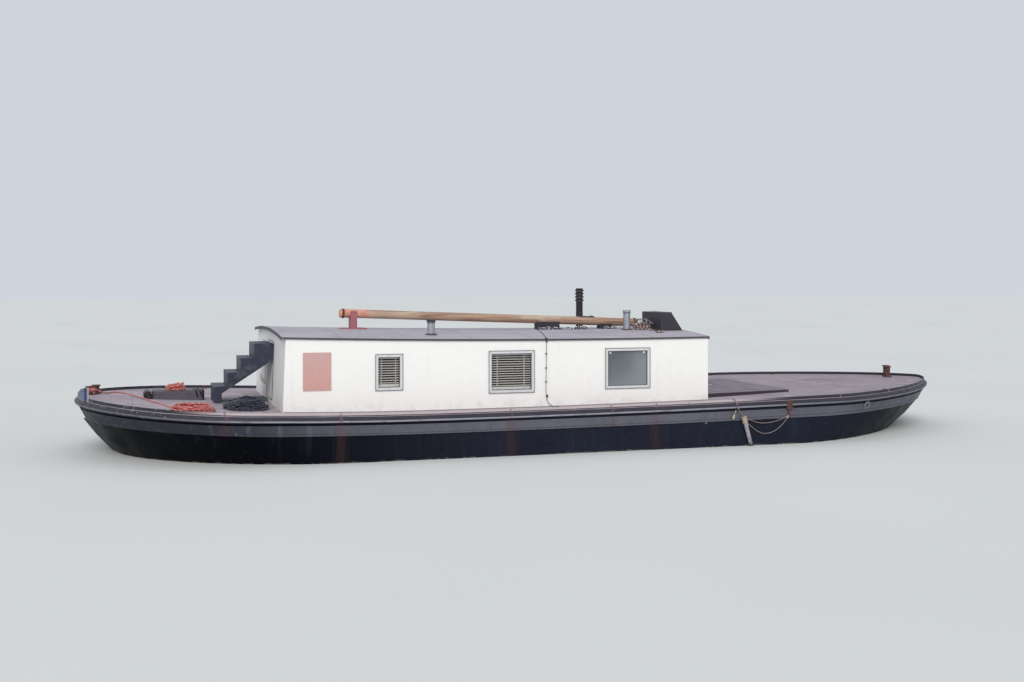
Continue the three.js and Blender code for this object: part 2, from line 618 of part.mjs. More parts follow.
function hoodBody() {
  const outer = solid(acrossBoat([[HOOD.fore, hoodFoot], [HOOD.fore, hoodTop], hoodBack(hoodTop, 0),
    hoodBack(hoodFoot, 0)], HOOD.starboard, HOOD.port));
  const inner = solid(acrossBoat([[HOOD.fore - HOOD.plate, hoodFoot - HOOD.plate],
    [HOOD.fore - HOOD.plate, hoodTop - HOOD.plate], [HOUSE.aft - HOOD.plate, hoodTop - HOOD.plate],
    [HOUSE.aft - HOOD.plate * 10, hoodFoot - HOOD.plate]],
  HOOD.starboard + HOOD.plate, HOOD.port - HOOD.plate));
  const overRoof = region(HOUSE.aft - ROOF_OVERHANG / 2, farX, -farY, farY, 0, high);
  return outer.subtract(inner).subtract(belowRoof).intersect(overRoof);
}
add('companion_hood', 'hood', hoodBody());

// Lid between the hood's sides, hinged along its top edge
function hoodLid() {
  const inset = HOOD.plate + HOOD_LID.clear;
  const low = roofTop(HOOD.aft, HOOD.starboard) + HOOD_LID.clear + HOOD_LID.thickness * hoodOut[1];
  const top = hoodTop - inset;
  const [y0, y1] = [HOOD.starboard + inset, HOOD.port - inset];
  const hingeZ = hoodTop - HOOD.plate / 2;
  const [hingeX, barrelZ] = hoodBack(hingeZ, HOOD_LID.barrel + GAP);
  const panel = acrossBoat([hoodBack(low, 0), hoodBack(low, -HOOD_LID.thickness),
    hoodBack(top, -HOOD_LID.thickness), hoodBack(top, 0)], y0, y1);
  const barrel = new THREE.CylinderGeometry(HOOD_LID.barrel, HOOD_LID.barrel, y1 - y0, HINGE.sides)
    .translate(hingeX, (y0 + y1) / 2, barrelZ);
  const tabLow = top - HOOD_LID.tabLength;
  const tab = (y) => acrossBoat([hoodBack(tabLow, -HINGE.sunk), hoodBack(top, -HINGE.sunk),
    hoodBack(top, GAP), hoodBack(hingeZ, GAP), hoodBack(hingeZ, HINGE.tab), hoodBack(tabLow, HINGE.tab)],
  y - HOOD_LID.tabWidth / 2, y + HOOD_LID.tabWidth / 2);
  return [barrel, tab(y0 + HOOD_LID.tabReach), tab(y1 - HOOD_LID.tabReach)]
    .reduce((whole, piece) => whole.add(solid(piece)), solid(panel));
}
add('hood_lid', 'hood', hoodLid());

// Long wooden pole in its crutch and on its chocks
const poleAxis = (x) => WATERLINE + POLE.aftHeight
  + (POLE.foreHeight - POLE.aftHeight) * (x - POLE.aft) / (POLE.fore - POLE.aft);
function poleSolid(extra) {
  const length = Math.hypot(POLE.fore - POLE.aft, POLE.foreHeight - POLE.aftHeight) + 2 * extra;
  const { bevel, sides } = POLE;
  const radius = POLE.radius + extra;
  const profile = [[0, 0], [radius - bevel, 0], [radius, bevel], [radius, length - bevel],
    [radius - bevel, length], [0, length]].map(([r, h]) => new THREE.Vector2(r, h));
  const geometry = new THREE.LatheGeometry(profile, sides);
  const slope = Math.atan2(POLE.foreHeight - POLE.aftHeight, POLE.fore - POLE.aft);
  geometry.rotateZ(-Math.PI / 2).rotateY(-slope).translate(POLE.aft - extra, POLE.y, poleAxis(POLE.aft));
  return solid(geometry);
}
add('roof_pole', 'pole', poleSolid(0));
const poleClear = poleSolid(GAP);

function crutch() {
  const half = CRUTCH.post / 2;
  const plateTop = roofTop(CRUTCH.x, POLE.y) + CRUTCH.plate;
  const plate = region(CRUTCH.x - CRUTCH.plateLength / 2, CRUTCH.x + CRUTCH.plateLength / 2,
    POLE.y - CRUTCH.plateWidth / 2, POLE.y + CRUTCH.plateWidth / 2,
    plateTop - CRUTCH.plate - CRUTCH.sunk, plateTop);
  const axis = poleAxis(CRUTCH.x);
  const cheek = POLE.radius + CRUTCH.arm;
  const post = region(CRUTCH.x - half, CRUTCH.x + half, POLE.y - cheek, POLE.y + cheek,
    plateTop - CRUTCH.plate, axis + CRUTCH.rise);
  const seatHalf = POLE.radius + GAP;
  const seat = region(CRUTCH.x - farX, CRUTCH.x + farX, POLE.y - seatHalf, POLE.y + seatHalf, axis, high);
  return plate.add(post).subtract(seat).subtract(poleClear).subtract(belowRoof);
}
add('pole_crutch', 'crutch', crutch());
for (const chock of CHOCKS) {
  const axis = poleAxis((chock.aft + chock.fore) / 2);
  const block = region(chock.aft, chock.fore, POLE.y - CHOCK_WIDTH / 2, POLE.y + CHOCK_WIDTH / 2,
    WATERLINE + EAVE_AFT, axis - POLE.radius / 2);
  add(`pole_chock_${chock.name}`, 'chock', block.subtract(poleClear).subtract(belowRoof));
}

// Pipes through the roof
function standingPipe(pipe) {
  const top = WATERLINE + pipe.top;
  const foot = roofTop(pipe.x, pipe.y) - PIPE_SUNK;
  const profile = [[0, foot], [pipe.radius, foot], [pipe.radius, top - pipe.cap],
    [pipe.capRadius, top - pipe.cap], [pipe.capRadius, top - pipe.bevel],
    [pipe.capRadius - pipe.bevel, top], [0, top]];
  return solid(turned(profile, pipe.x, pipe.y, pipe.sides)).subtract(belowRoof);
}
add('roof_vent', 'vent', standingPipe(VENT));
add('flue_pipe', 'vent', standingPipe(FLUE));

function louvredChimney() {
  const { slope, band, sides } = CHIMNEY;
  const top = WATERLINE + CHIMNEY.top;
  const foot = roofTop(CHIMNEY.x, CHIMNEY.y) - PIPE_SUNK;
  const profile = [[0, foot], [CHIMNEY.radius, foot]];
  for (let i = CHIMNEY.rings; i > 0; i--) {
    const z = top - i * CHIMNEY.pitch;
    profile.push([CHIMNEY.radius, z], [CHIMNEY.ring, z + slope]);
    profile.push([CHIMNEY.ring, z + slope + band], [CHIMNEY.radius, z + 2 * slope + band]);
  }
  profile.push([CHIMNEY.radius, top], [0, top]);
  return solid(turned(profile, CHIMNEY.x, CHIMNEY.y, sides)).subtract(belowRoof);
}
add('louvred_chimney', 'chimney', louvredChimney());

// Boarding steps from the foredeck to the roof
function boardingSteps() {
  const treadTop = (i) => WATERLINE + STEP_HEIGHTS[i];
  const last = STEP_HEIGHTS.length - 1;
  const back = foreFace(treadTop(last)) + GAP;
  const lowBack = treadTop(last) - STEPS.depth;
  const outline = [[STEPS.fore, WATERLINE]];
  STEP_HEIGHTS.forEach((_, i) => {
    const front = STEPS.fore - i * STEPS.run;
    outline.push([front, treadTop(i)], [i < last ? front - STEPS.run : back, treadTop(i)]);
  });
  outline.push([foreFace(lowBack) + GAP, lowBack], [STEPS.fore - STEPS.foot, treadTop(0) - STEPS.riser],
    [STEPS.fore - STEPS.foot, WATERLINE]);
  const whole = solid(acrossBoat(outline, STEPS.starboard, STEPS.port));
  const inset = outline.map(([x, z]) => [x - STEPS.plate, z - STEPS.plate]);
  const inside = solid(acrossBoat(inset, STEPS.starboard + STEPS.plate, STEPS.port - STEPS.plate));
  return whole.subtract(inside).subtract(belowDeck);
}
add('boarding_steps', 'steps', boardingSteps());

// Low locker with rounded ends on the foredeck
function roundedPlan(x0, x1, y0, y1, corner) {
  const shape = [];
  const centres = [[x1 - corner, y0 + corner, -90], [x1 - corner, y1 - corner, 0],
    [x0 + corner, y1 - corner, 90], [x0 + corner, y0 + corner, 180]];
  for (const [cx, cy, start] of centres) {
    for (const degrees of range(start, start + 90, 4)) {
      const angle = THREE.MathUtils.degToRad(degrees);
      shape.push([cx + corner * Math.cos(angle), cy + corner * Math.sin(angle)]);
    }
  }
  return shape;
}
const lockerTop = deckTop((LOCKER.aft + LOCKER.fore) / 2) + LOCKER.height;
add('foredeck_locker', 'locker', solid(upright(
  roundedPlan(LOCKER.aft, LOCKER.fore, LOCKER.starboard, LOCKER.port, LOCKER.corner),
  WATERLINE, lockerTop)).subtract(belowDeck));

// Low platform abaft the deckhouse, with a hinged hatch lid
const platformTop = deckTop(PLATFORM.fore) + PLATFORM.height;
const platformPlan = [[PLATFORM.aft, -PLATFORM.aftHalf], [PLATFORM.fore, -PLATFORM.foreHalf],
  [PLATFORM.fore, PLATFORM.foreHalf], [PLATFORM.aft, PLATFORM.aftHalf]];
add('aft_platform', 'platform',
  solid(upright(platformPlan, WATERLINE, platformTop)).subtract(belowDeck).subtract(hatchWell));

function hatchLid() {
  const { aft, fore, starboard, port, fit, lid, barrel } = AFT_HATCH;
  const inner = starboard + HINGE.reach;
  let leaf = region(aft + fit, fore - fit, starboard + fit, port - fit, platformTop - lid, platformTop);
  for (const x of [aft + HINGE.reach, fore - HINGE.reach]) {
    const [x0, x1] = [x - HINGE.length / 2, x + HINGE.length / 2];
    const turned = new THREE.CylinderGeometry(barrel, barrel, HINGE.length, HINGE.sides)
      .rotateZ(Math.PI / 2).translate(x, starboard, platformTop + barrel + GAP);
    leaf = leaf.add(solid(turned))
      .add(region(x0, x1, starboard, inner, platformTop + GAP, platformTop + HINGE.tab))
      .add(region(x0, x1, starboard + 2 * fit, inner, platformTop - HINGE.sunk, platformTop + HINGE.tab));
  }
  return leaf;
}
add('aft_hatch_lid', 'platform', hatchLid());

// Double bollards
for (const place of BOLLARDS) {
  const base = deckTop(place.x);
  const [foot, top] = [base - BOLLARD.sunk, base + place.height];
  const post = (offset) => solid(turned([[0, foot], [BOLLARD.radius, foot],
    [BOLLARD.radius, top - BOLLARD.cap], [BOLLARD.capRadius, top - BOLLARD.cap],
    [BOLLARD.capRadius, top], [0, top]], offset, 0, BOLLARD.sides));
  const reach = BOLLARD.spread + BOLLARD.radius + BOLLARD.margin;
  const plate = region(-reach, reach, -BOLLARD.capRadius, BOLLARD.capRadius, foot, base + BOLLARD.plate);
  const pair = plate.add(post(-BOLLARD.spread)).add(post(BOLLARD.spread));
  const placed = pair.rotate([0, 0, place.turn]).translate([place.x, place.y, 0]);
  add(`bollard_${place.name}`, 'bollard', placed.subtract(belowDeck));
}

// Round tube along a smooth curve through the points of a route
function ropeTube(route, radius, spacing) {
  const curve = new THREE.CatmullRomCurve3(route.map((point) => new THREE.Vector3(...point)));
  const section = new THREE.Shape(range(0, 315, 7).map((degrees) => {
    const angle = THREE.MathUtils.degToRad(degrees);
    return new THREE.Vector2(radius * Math.cos(angle), radius * Math.sin(angle));
  }));
  const steps = Math.round(curve.getLength() / spacing);
  return new THREE.ExtrudeGeometry(section, { steps, extrudePath: curve, bevelEnabled: false });
}

// Tapered pole that leans against the strake
const fenderY = HALF_BEAM + STRAKE.thickness + GAP + FENDER.topRadius;
function fenderStick(extra) {
  const [foot, top] = [WATERLINE + FENDER.foot, WATERLINE + FENDER.top];
  const length = Math.hypot(FENDER.topX - FENDER.footX, top - foot);
  const lean = Math.atan2(FENDER.topX - FENDER.footX, top - foot);
  const [low, up] = [FENDER.footRadius + extra, FENDER.topRadius + extra];
  return solid(turned([[0, -extra], [low, -extra], [up, length + extra], [0, length + extra]], 0, 0,
    FENDER.sides).rotateY(lean).translate(FENDER.footX, fenderY, foot));
}

// Lanyard from the pole's top, forward and up over the rubbing rail and the toe rail to the deck
function lanyard() {
  const outside = HALF_BEAM + GAP + RAIL_RADIUS + LANYARD.radius + LANYARD.clear / 2;
  const deck = deckTop(LANYARD.overX);
  const over = deck + TOE_RAIL.height + LANYARD.radius + LANYARD.clear / 2;
  const onDeck = deck + LANYARD.radius + 6 * GAP;
  const top = WATERLINE + FENDER.top;
  return solid(ropeTube([
    [FENDER.topX, fenderY, top - LANYARD.clear], [FENDER.topX + LANYARD.clear, fenderY, top + LANYARD.clear],
    [LANYARD.overX - LANYARD.inboard / 2, outside, (top + deck) / 2],
    [LANYARD.overX - LANYARD.clear, outside, deck],
    [LANYARD.overX, HALF_BEAM, over],
    [LANYARD.overX, HALF_BEAM - LANYARD.inboard / 3, over - TOE_RAIL.height / 2],
    [LANYARD.overX + LANYARD.clear / 2, HALF_BEAM - LANYARD.inboard * 2 / 3, onDeck + GAP],
    [LANYARD.overX + LANYARD.clear, HALF_BEAM - LANYARD.inboard, onDeck],
  ], LANYARD.radius, LANYARD.spacing));
}
const fender = fenderStick(0).add(lanyard());
add('fender_pole_port', 'fender', fender);
add('fender_pole_starboard', 'fender', fender.mirror([0, 1, 0]));

// Rusty bracket over the rubbing rail, with a strap down to the eye of the fender's line
function fenderBracket() {
  const deck = deckTop(BRACKET.x);
  const inner = HALF_BEAM + STRAKE.thickness + GAP;
  const plate = region(BRACKET.x - BRACKET.width / 2, BRACKET.x + BRACKET.width / 2,
    inner, HALF_BEAM + RAIL_RADIUS + BRACKET.proud, deck + BRACKET.low, deck + BRACKET.top);
  const strap = region(BRACKET.x - BRACKET.strapWidth / 2, BRACKET.x + BRACKET.strapWidth / 2,
    inner, FENDER_LINE.y + 2 * FENDER_LINE.radius, BRACKET.eye, deck + BRACKET.low + BRACKET.strap);
  return plate.add(strap).subtract(solid(railOf(RAIL_RADIUS + GAP)));
}
add('fender_bracket', 'bollard', fenderBracket());
const eye = region(BRACKET.x - BRACKET.strapWidth / 2 - GAP, BRACKET.x + BRACKET.strapWidth / 2 + GAP,
  HALF_BEAM, farY, 0, high);
add('fender_line', 'brownRope', solid(ropeTube(
  FENDER_LINE_ROUTE.map(([x, z]) => [x, FENDER_LINE.y, z]), FENDER_LINE.radius, FENDER_LINE.spacing))
  .subtract(eye).subtract(fenderStick(GAP)));

// Rope coils on the deck, the locker and the roof
function coilRing(coil, base) {
  const rise = Math.min(coil.height, (coil.outer - coil.inner) / 2);
  const [foot, top] = [base - COIL.sunk, base + coil.height];
  const [out, inward] = [rise * COIL.outerRound, rise * COIL.innerRound];
  const profile = [[coil.inner, foot], [coil.outer, foot], [coil.outer, top - out],
    [coil.outer - out, top], [coil.inner + inward, top], [coil.inner, top - inward], [coil.inner, foot]];
  return solid(turned(profile, coil.x, coil.y, COIL.sides));
}
const tailBase = deckTop(RED_TAIL.x);
const redTail = solid(turned([[0, tailBase - COIL.sunk], [RED_TAIL.radius, tailBase - COIL.sunk],
  [RED_TAIL.radius, tailBase + RED_TAIL.height], [0, tailBase + RED_TAIL.height]],
RED_TAIL.x, RED_TAIL.y, COIL.sides));
for (const heap of HEAPS) {
  const coil = coilRing(heap, deckTop(heap.x));
  const whole = heap.name === 'red_rope_coil' ? coil.add(redTail) : coil;
  add(heap.name, heap.colour, whole.subtract(belowDeck));
}
const bow = BOLLARDS.find(({ name }) => name === 'bow');
const bowTurn = THREE.MathUtils.degToRad(bow.turn);
const turnsLow = deckTop(bow.x) + BOLLARD.plate + GAP;
const turnsHigh = deckTop(bow.x) + bow.height - BOLLARD.cap - GAP;
add('bow_rope_coil', 'redRope', turned([
  [BOW_TURNS.inner, turnsLow], [BOW_TURNS.outer, turnsLow], [BOW_TURNS.outer, turnsHigh],
  [BOW_TURNS.inner, turnsHigh], [BOW_TURNS.inner, turnsLow],
], bow.x + BOLLARD.spread * Math.cos(bowTurn), bow.y + BOLLARD.spread * Math.sin(bowTurn), COIL.sides));
add('red_bow_line', 'redRope', solid(ropeTube(
  LINE_ROUTE.map(([x, y, lift]) => [x, y, deckTop(x) + lift]), LINE_RADIUS, LINE_SPACING)));
add('locker_rope_coil', 'redRope', coilRing(LOCKER_COIL, lockerTop)
  .intersect(region(LOCKER.aft, LOCKER.fore, -farY, farY, lockerTop + GAP, high)));
add('roof_rope_coil', 'brownRope',
  coilRing(ROOF_COIL, roofTop(ROOF_COIL.x, ROOF_COIL.y)).subtract(belowRoof));

// Cleat on the port side of the roof, and the line that leads to it from the heap
function roofCleat() {
  const base = roofTop(CLEAT.x, CLEAT.y);
  const along = (length, width, z0, z1) => region(CLEAT.x - length / 2, CLEAT.x + length / 2,
    CLEAT.y - width / 2, CLEAT.y + width / 2, z0, z1);
  const [hornLow, top] = [base + CLEAT.height - CLEAT.horn, base + CLEAT.height];
  const foot = (sign) => along(CLEAT.foot, CLEAT.horn, base - CLEAT.foot, top)
    .translate([sign * CLEAT.foot, 0, 0]);
  return along(CLEAT.length, CLEAT.horn, hornLow, top).add(foot(1)).add(foot(-1))
    .add(along(CLEAT.baseLength, CLEAT.width, base - CLEAT.foot, base + CLEAT.horn / 2)).subtract(belowRoof);
}
add('roof_cleat', 'chock', roofCleat());
add('roof_line', 'brownRope', solid(ropeTube(
  ROOF_LINE_ROUTE.map(([x, y, lift]) => [x, y, roofTop(x, y) + lift]), ROOF_LINE_RADIUS, ROOF_LINE_SPACING)));

// Cable held along its whole run, with its saddle over the edge of the roof
function wallCable() {
  const follow = (route, surface) => solid(ropeTube(
    route.map(([x, y, lift]) => [x, y, surface(x, y) + lift]), CABLE_RADIUS, CABLE_SPACING));
  const edge = roofTop(SADDLE.x, roofHalf);
  const [x0, x1] = [SADDLE.x - SADDLE.width / 2, SADDLE.x + SADDLE.width / 2];
  const over = region(x0, x1, SADDLE.inner, SADDLE.outer, edge + GAP, edge + SADDLE.above);
  const beside = region(x0, x1, roofHalf + GAP, SADDLE.outer, edge - SADDLE.below, edge + SADDLE.above);
  return over.subtract(belowRoof).add(beside).add(follow(CABLE_ON_ROOF, roofTop))
    .add(follow(CABLE_ON_WALL, deckTop));
}
add('wall_cable', 'chock', wallCable());

export default boat;
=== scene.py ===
"""Looks of a steel houseboat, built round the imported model.

Metres, in the part's own frame: +X to the bow, +Y to port, +Z up, waterline at z 0.5.
"""
import json
import math
import random

import bmesh
import bpy
import numpy as np
from mathutils import Matrix, Vector
from mathutils.bvhtree import BVHTree


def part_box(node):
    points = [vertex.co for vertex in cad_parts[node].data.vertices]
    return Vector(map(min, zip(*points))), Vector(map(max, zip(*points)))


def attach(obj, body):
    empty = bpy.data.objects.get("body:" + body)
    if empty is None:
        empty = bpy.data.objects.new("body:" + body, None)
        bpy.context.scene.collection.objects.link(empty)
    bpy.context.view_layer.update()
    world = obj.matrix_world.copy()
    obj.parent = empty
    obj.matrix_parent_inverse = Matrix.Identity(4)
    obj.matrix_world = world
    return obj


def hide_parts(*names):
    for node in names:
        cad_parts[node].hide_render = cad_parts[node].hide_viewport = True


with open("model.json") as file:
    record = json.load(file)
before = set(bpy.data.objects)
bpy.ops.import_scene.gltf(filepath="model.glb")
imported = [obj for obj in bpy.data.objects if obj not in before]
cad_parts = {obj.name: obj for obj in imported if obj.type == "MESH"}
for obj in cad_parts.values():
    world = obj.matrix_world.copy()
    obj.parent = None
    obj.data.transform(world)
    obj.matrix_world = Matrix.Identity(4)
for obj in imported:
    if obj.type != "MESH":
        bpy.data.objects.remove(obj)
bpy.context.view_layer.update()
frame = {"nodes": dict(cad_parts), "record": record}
nodes = frame["nodes"]

# Camera, worked out from the lines of the photo
IMAGE_WIDTH, IMAGE_HEIGHT = 1024, 682
FOCAL_PIXELS = 1250.2
HORIZON_ROW = 277.8
CAMERA_PLACE = (7.17, 21.043, 3.268)
CAMERA_LOOK = (-0.2964, -0.9550, 0.0)
SENSOR = 36.0

WATERLINE = 0.5
FLOOR_HALF = 150.0


def make_camera():
    data = bpy.data.cameras.new("camera")
    data.sensor_width = SENSOR
    data.lens = FOCAL_PIXELS / IMAGE_WIDTH * SENSOR
    data.shift_y = (HORIZON_ROW - IMAGE_HEIGHT / 2) / IMAGE_WIDTH
    data.clip_end = 500
    camera = bpy.data.objects.new("camera", data)
    camera.location = CAMERA_PLACE
    camera.rotation_euler = Vector(CAMERA_LOOK).to_track_quat("-Z", "Y").to_euler()
    bpy.context.scene.collection.objects.link(camera)
    bpy.context.scene.camera = camera


make_camera()


# Surfaces of the model, found by rays

class Surface:
    """A CAD node's skin, to seat pieces on."""

    def __init__(self, *names):
        verts, faces = [], []
        for name in names:
            mesh = nodes[name].data
            start = len(verts)
            verts += [v.co.copy() for v in mesh.vertices]
            faces += [[start + i for i in p.vertices] for p in mesh.polygons]
        self.tree = BVHTree.FromPolygons(verts, faces)

    def hit(self, start, direction):
        place, normal, _, _ = self.tree.ray_cast(Vector(start), Vector(direction))
        return place, normal

    def top(self, x, y):
        """Height of the highest surface at x, y, or a low number beside it."""
        place = self.hit((x, y, 10), (0, 0, -1))[0]
        return place.z if place else -1.0

    def side(self, x, z, sign):
        """Point and outward direction of the outermost surface on one side."""
        return self.hit((x, sign * 10, z), (0, -sign, 0))


deck = Surface("deck_plating")
roof = Surface("roof")
strake = Surface("sheer_strake")


# Materials

def srgb(code):
    """Linear colour from a hex code such as 0xa2a0ac."""
    parts = [((code >> shift) & 255) / 255 for shift in (16, 8, 0)]
    linear = [p / 12.92 if p <= 0.04045 else ((p + 0.055) / 1.055) ** 2.4 for p in parts]
    return (*linear, 1.0)


class Paint:
    """A material made of nodes, with one short call for each kind of node used here."""

    def __init__(self, name, roughness=0.6, metallic=0.0, **sockets):
        self.material = bpy.data.materials.new(name)
        self.material.use_nodes = True
        self.tree = self.material.node_tree
        self.shader = self.tree.nodes["Principled BSDF"]
        self.shader.inputs["Roughness"].default_value = roughness
        self.shader.inputs["Metallic"].default_value = metallic
        for socket, value in sockets.items():
            self.shader.inputs[socket.replace("_", " ")].default_value = value
        self.coords = self.node("TexCoord").outputs["Object"]
        self.colour = None

    def node(self, kind, settings=None, **inputs):
        node = self.tree.nodes.new("ShaderNode" + kind)
        for key, value in (settings or {}).items():
            setattr(node, key, value)
        for key, value in inputs.items():
            self.put(value, node.inputs[int(key[1:]) if key[0] == "i" and key[1:].isdigit() else key])
        return node

    def put(self, value, socket):
        if isinstance(value, bpy.types.NodeSocket):
            self.tree.links.new(value, socket)
        else:
            socket.default_value = value

    def math(self, operation, a, b=0.0, clamp=False):
        return self.node("Math", {"operation": operation, "use_clamp": clamp}, i0=a, i1=b).outputs[0]

    def times(self, a, b, clamp=False):
        return self.math("MULTIPLY", a, b, clamp)

    def plus(self, a, b, clamp=False):
        return self.math("ADD", a, b, clamp)

    def axis(self, name):
        """x, y or z of the part's frame, as a value."""
        return self.node("SeparateXYZ", i0=self.coords).outputs[name.upper()]

    def facing(self, name):
        """x, y or z of the direction that the surface faces."""
        normal = self.node("NewGeometry").outputs["Normal"]
        return self.node("SeparateXYZ", i0=normal).outputs[name.upper()]

    def stretched(self, x, y, z):
        return self.node("Mapping", Vector=self.coords, Scale=(x, y, z)).outputs[0]

    def noise(self, scale, detail, roughness=0.55, coords=None):
        return self.node("TexNoise", Vector=coords or self.coords, Scale=scale, Detail=detail,
                         Roughness=roughness).outputs["Fac"]

    def cells(self, scale):
        return self.node("TexVoronoi", Vector=self.coords, Scale=scale).outputs["Distance"]

    def ramp(self, value, low, high, a=0.0, b=1.0):
        """Takes low..high of value to a..b, held at the ends."""
        node = self.node("MapRange", {"interpolation_type": "SMOOTHSTEP"}, Value=value)
        for key, number in (("From Min", low), ("From Max", high), ("To Min", a), ("To Max", b)):
            node.inputs[key].default_value = number
        return node.outputs[0]

    def cloud(self, scale, detail, low, high, a=0.0, b=1.0):
        """Patches of noise, with low..high of it taken to a..b."""
        return self.ramp(self.noise(scale, detail), low, high, a, b)

    def near(self, value, centre, full, fade):
        """1 within full of centre, falling to 0 over fade."""
        distance = self.math("ABSOLUTE", self.math("SUBTRACT", value, centre))
        return self.ramp(distance, full, full + fade, 1.0, 0.0)

    def mix(self, factor, a, b):
        """Blend of two colours, each of them a socket or a hex code."""
        node = self.node("Mix", {"data_type": "RGBA"})
        self.put(factor, node.inputs[0])
        for socket, colour in ((6, a), (7, b)):
            self.put(srgb(colour) if isinstance(colour, int) else colour, node.inputs[socket])
        return node.outputs[2]

    def weather(self, base, dark, amount, scale):
        """Begins with base paint, patched with a darker tone of it at two scales."""
        both = self.plus(self.cloud(scale, 5, 0.35, 0.7), self.cloud(scale * 14, 6, 0.4, 0.7))
        self.colour = self.mix(self.times(both, amount / 2), base, dark)

    def coat(self, where, colour, share=1.0):
        """Lays another colour over what is there, by a mask and a share of it."""
        self.colour = self.mix(where if share == 1.0 else self.times(where, share), self.colour, colour)

    def attribute(self, name):
        return self.node("Attribute", {"attribute_name": name}).outputs["Fac"]

    def bump(self, height, distance):
        node = self.node("Bump", Height=height, Distance=distance, Strength=1.0)
        previous = self.shader.inputs["Normal"].links
        if previous:
            self.tree.links.new(previous[0].from_socket, node.inputs["Normal"])
        self.tree.links.new(node.outputs[0], self.shader.inputs["Normal"])

    def dents(self, scale, detail, depth):
        """Unevenness of this depth."""
        self.bump(self.noise(scale, detail), depth)

    def done(self, roughness=None):
        self.put(self.colour, self.shader.inputs["Base Color"])
        if roughness is not None:
            self.put(roughness, self.shader.inputs["Roughness"])
        return self.material


def painted(name, base, dark, roughness, scale, amount=0.5, bump=0.0006, metallic=0.0):
    """Plain weathered paint for small parts."""
    paint = Paint(name, roughness, metallic)
    paint.weather(base, dark, amount, scale)
    grain = paint.noise(scale * 40, 5)
    paint.bump(grain, bump)
    return paint.done(paint.ramp(grain, 0.3, 0.7, roughness - 0.08, roughness + 0.1))


def nodes_high(name):
    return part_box(name)[1].z


def centre_of(node):
    low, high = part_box(node)
    return (low + high) / 2


PANELLING = 0x4a352a
SOCKET_XS = [-1.024, -0.242, 1.434, 4.082, 5.771]
AFT_SOCKET_XS = [-5.6, -4.4]
RUN_XS = [-1.02, 1.43, 4.08]
DECK_LOW = 1.185
SHEER_LOW_X = 2.45
BOW_SPAN, BOW_SHEER = 5.426, 0.193
STERN_SPAN, STERN_SHEER = 10.117, 0.146
PLATE_PITCH, SEAM_HALF = 1.9, 0.004
# Inner faces of the deckhouse's side, aft and fore walls
INSIDE_Y, INSIDE_AFT_X, INSIDE_FORE_X = 1.944, -2.122, 4.777
CHIMNEY_RING_DROPS = (0.055, 0.115, 0.175, 0.235)


def streaks(paint, x_scale=9.0, z_scale=0.5):
    """Runs of dirt that water drew down an upright face."""
    return paint.noise(1.0, 5, 0.6, paint.stretched(x_scale, x_scale, z_scale))


def below_deck(paint):
    """How far below the sheer of the deck a point lies."""
    x = paint.axis("x")
    total = DECK_LOW
    for sign, span, sheer in ((1, BOW_SPAN, BOW_SHEER), (-1, STERN_SPAN, STERN_SHEER)):
        away = paint.times(paint.math("SUBTRACT", x, SHEER_LOW_X), sign / span)
        away = paint.math("MAXIMUM", away, 0.0)
        total = paint.plus(paint.times(paint.math("POWER", away, 2.0), sheer), total)
    return paint.math("SUBTRACT", total, paint.axis("z"))


def seams(paint):
    """1 along the upright welds between the hull's plates."""
    wave = paint.math("PINGPONG", paint.plus(paint.axis("x"), 40.0), PLATE_PITCH)
    return paint.near(wave, PLATE_PITCH, SEAM_HALF, SEAM_HALF)


def rust_runs(paint, centres, half=0.03, fade=0.13):
    """Where rust ran down below the fittings at these places along the hull."""
    x = paint.axis("x")
    total = 0.0
    for centre in centres:
        total = paint.plus(total, paint.near(x, centre, half, fade))
    wet = paint.ramp(streaks(paint, 16, 0.8), 0.36, 0.6)
    return paint.times(total, wet, clamp=True)


def hull_material():
    paint = Paint("hull_paint", 0.45, Specular_IOR_Level=0.05)
    z, x = paint.axis("z"), paint.axis("x")
    paint.weather(0x232633, 0x181b26, 0.8, 0.8)
    # Painted shade: the hull goes darker towards the bow.
    paint.coat(paint.ramp(x, 0.5, 5.6), 0x06080f)
    paint.coat(paint.ramp(x, -4.2, -6.2, 0.0, 0.85), 0x0e1017)
    runs = paint.ramp(streaks(paint), 0.54, 0.74, 0.0, 0.22)
    paint.coat(runs, 0x343947)
    paint.coat(rust_runs(paint, RUN_XS), 0x45302e, 0.4)
    # Painted highlight: a pale line along the stem bar and keel on the centre line.
    stem_highlight = paint.near(paint.axis("y"), 0.0, 0.04, 0.02)
    paint.coat(stem_highlight, 0x6c7078, 0.8)
    spots = paint.times(paint.ramp(paint.cells(4.0), 0.02, 0.05, 1.0, 0.0), paint.cloud(1.9, 2, 0.5, 0.6))
    paint.coat(spots, 0x5a3a30)
    wavy = paint.plus(z, paint.times(paint.noise(9.0, 4), 0.05))
    scum = paint.ramp(wavy, WATERLINE + 0.034, WATERLINE + 0.048, 1.0, 0.0)
    dashes = paint.ramp(paint.noise(1.0, 3, 0.5, paint.stretched(5, 5, 2)), 0.46, 0.56)
    paint.coat(paint.times(scum, dashes), 0x5f5b54)
    under = paint.ramp(z, WATERLINE - 0.03, WATERLINE + 0.01, 1.0, 0.0)
    fouled = paint.mix(paint.cloud(5.0, 6, 0.35, 0.65), 0x1e1b19, 0x33322a)
    paint.coat(under, fouled)
    paint.dents(1.1, 3, 0.012)
    paint.bump(seams(paint), 0.0025)
    paint.dents(60.0, 4, 0.0008)
    return paint.done(paint.cloud(3.0, 5, 0.35, 0.7, 0.3, 0.52))


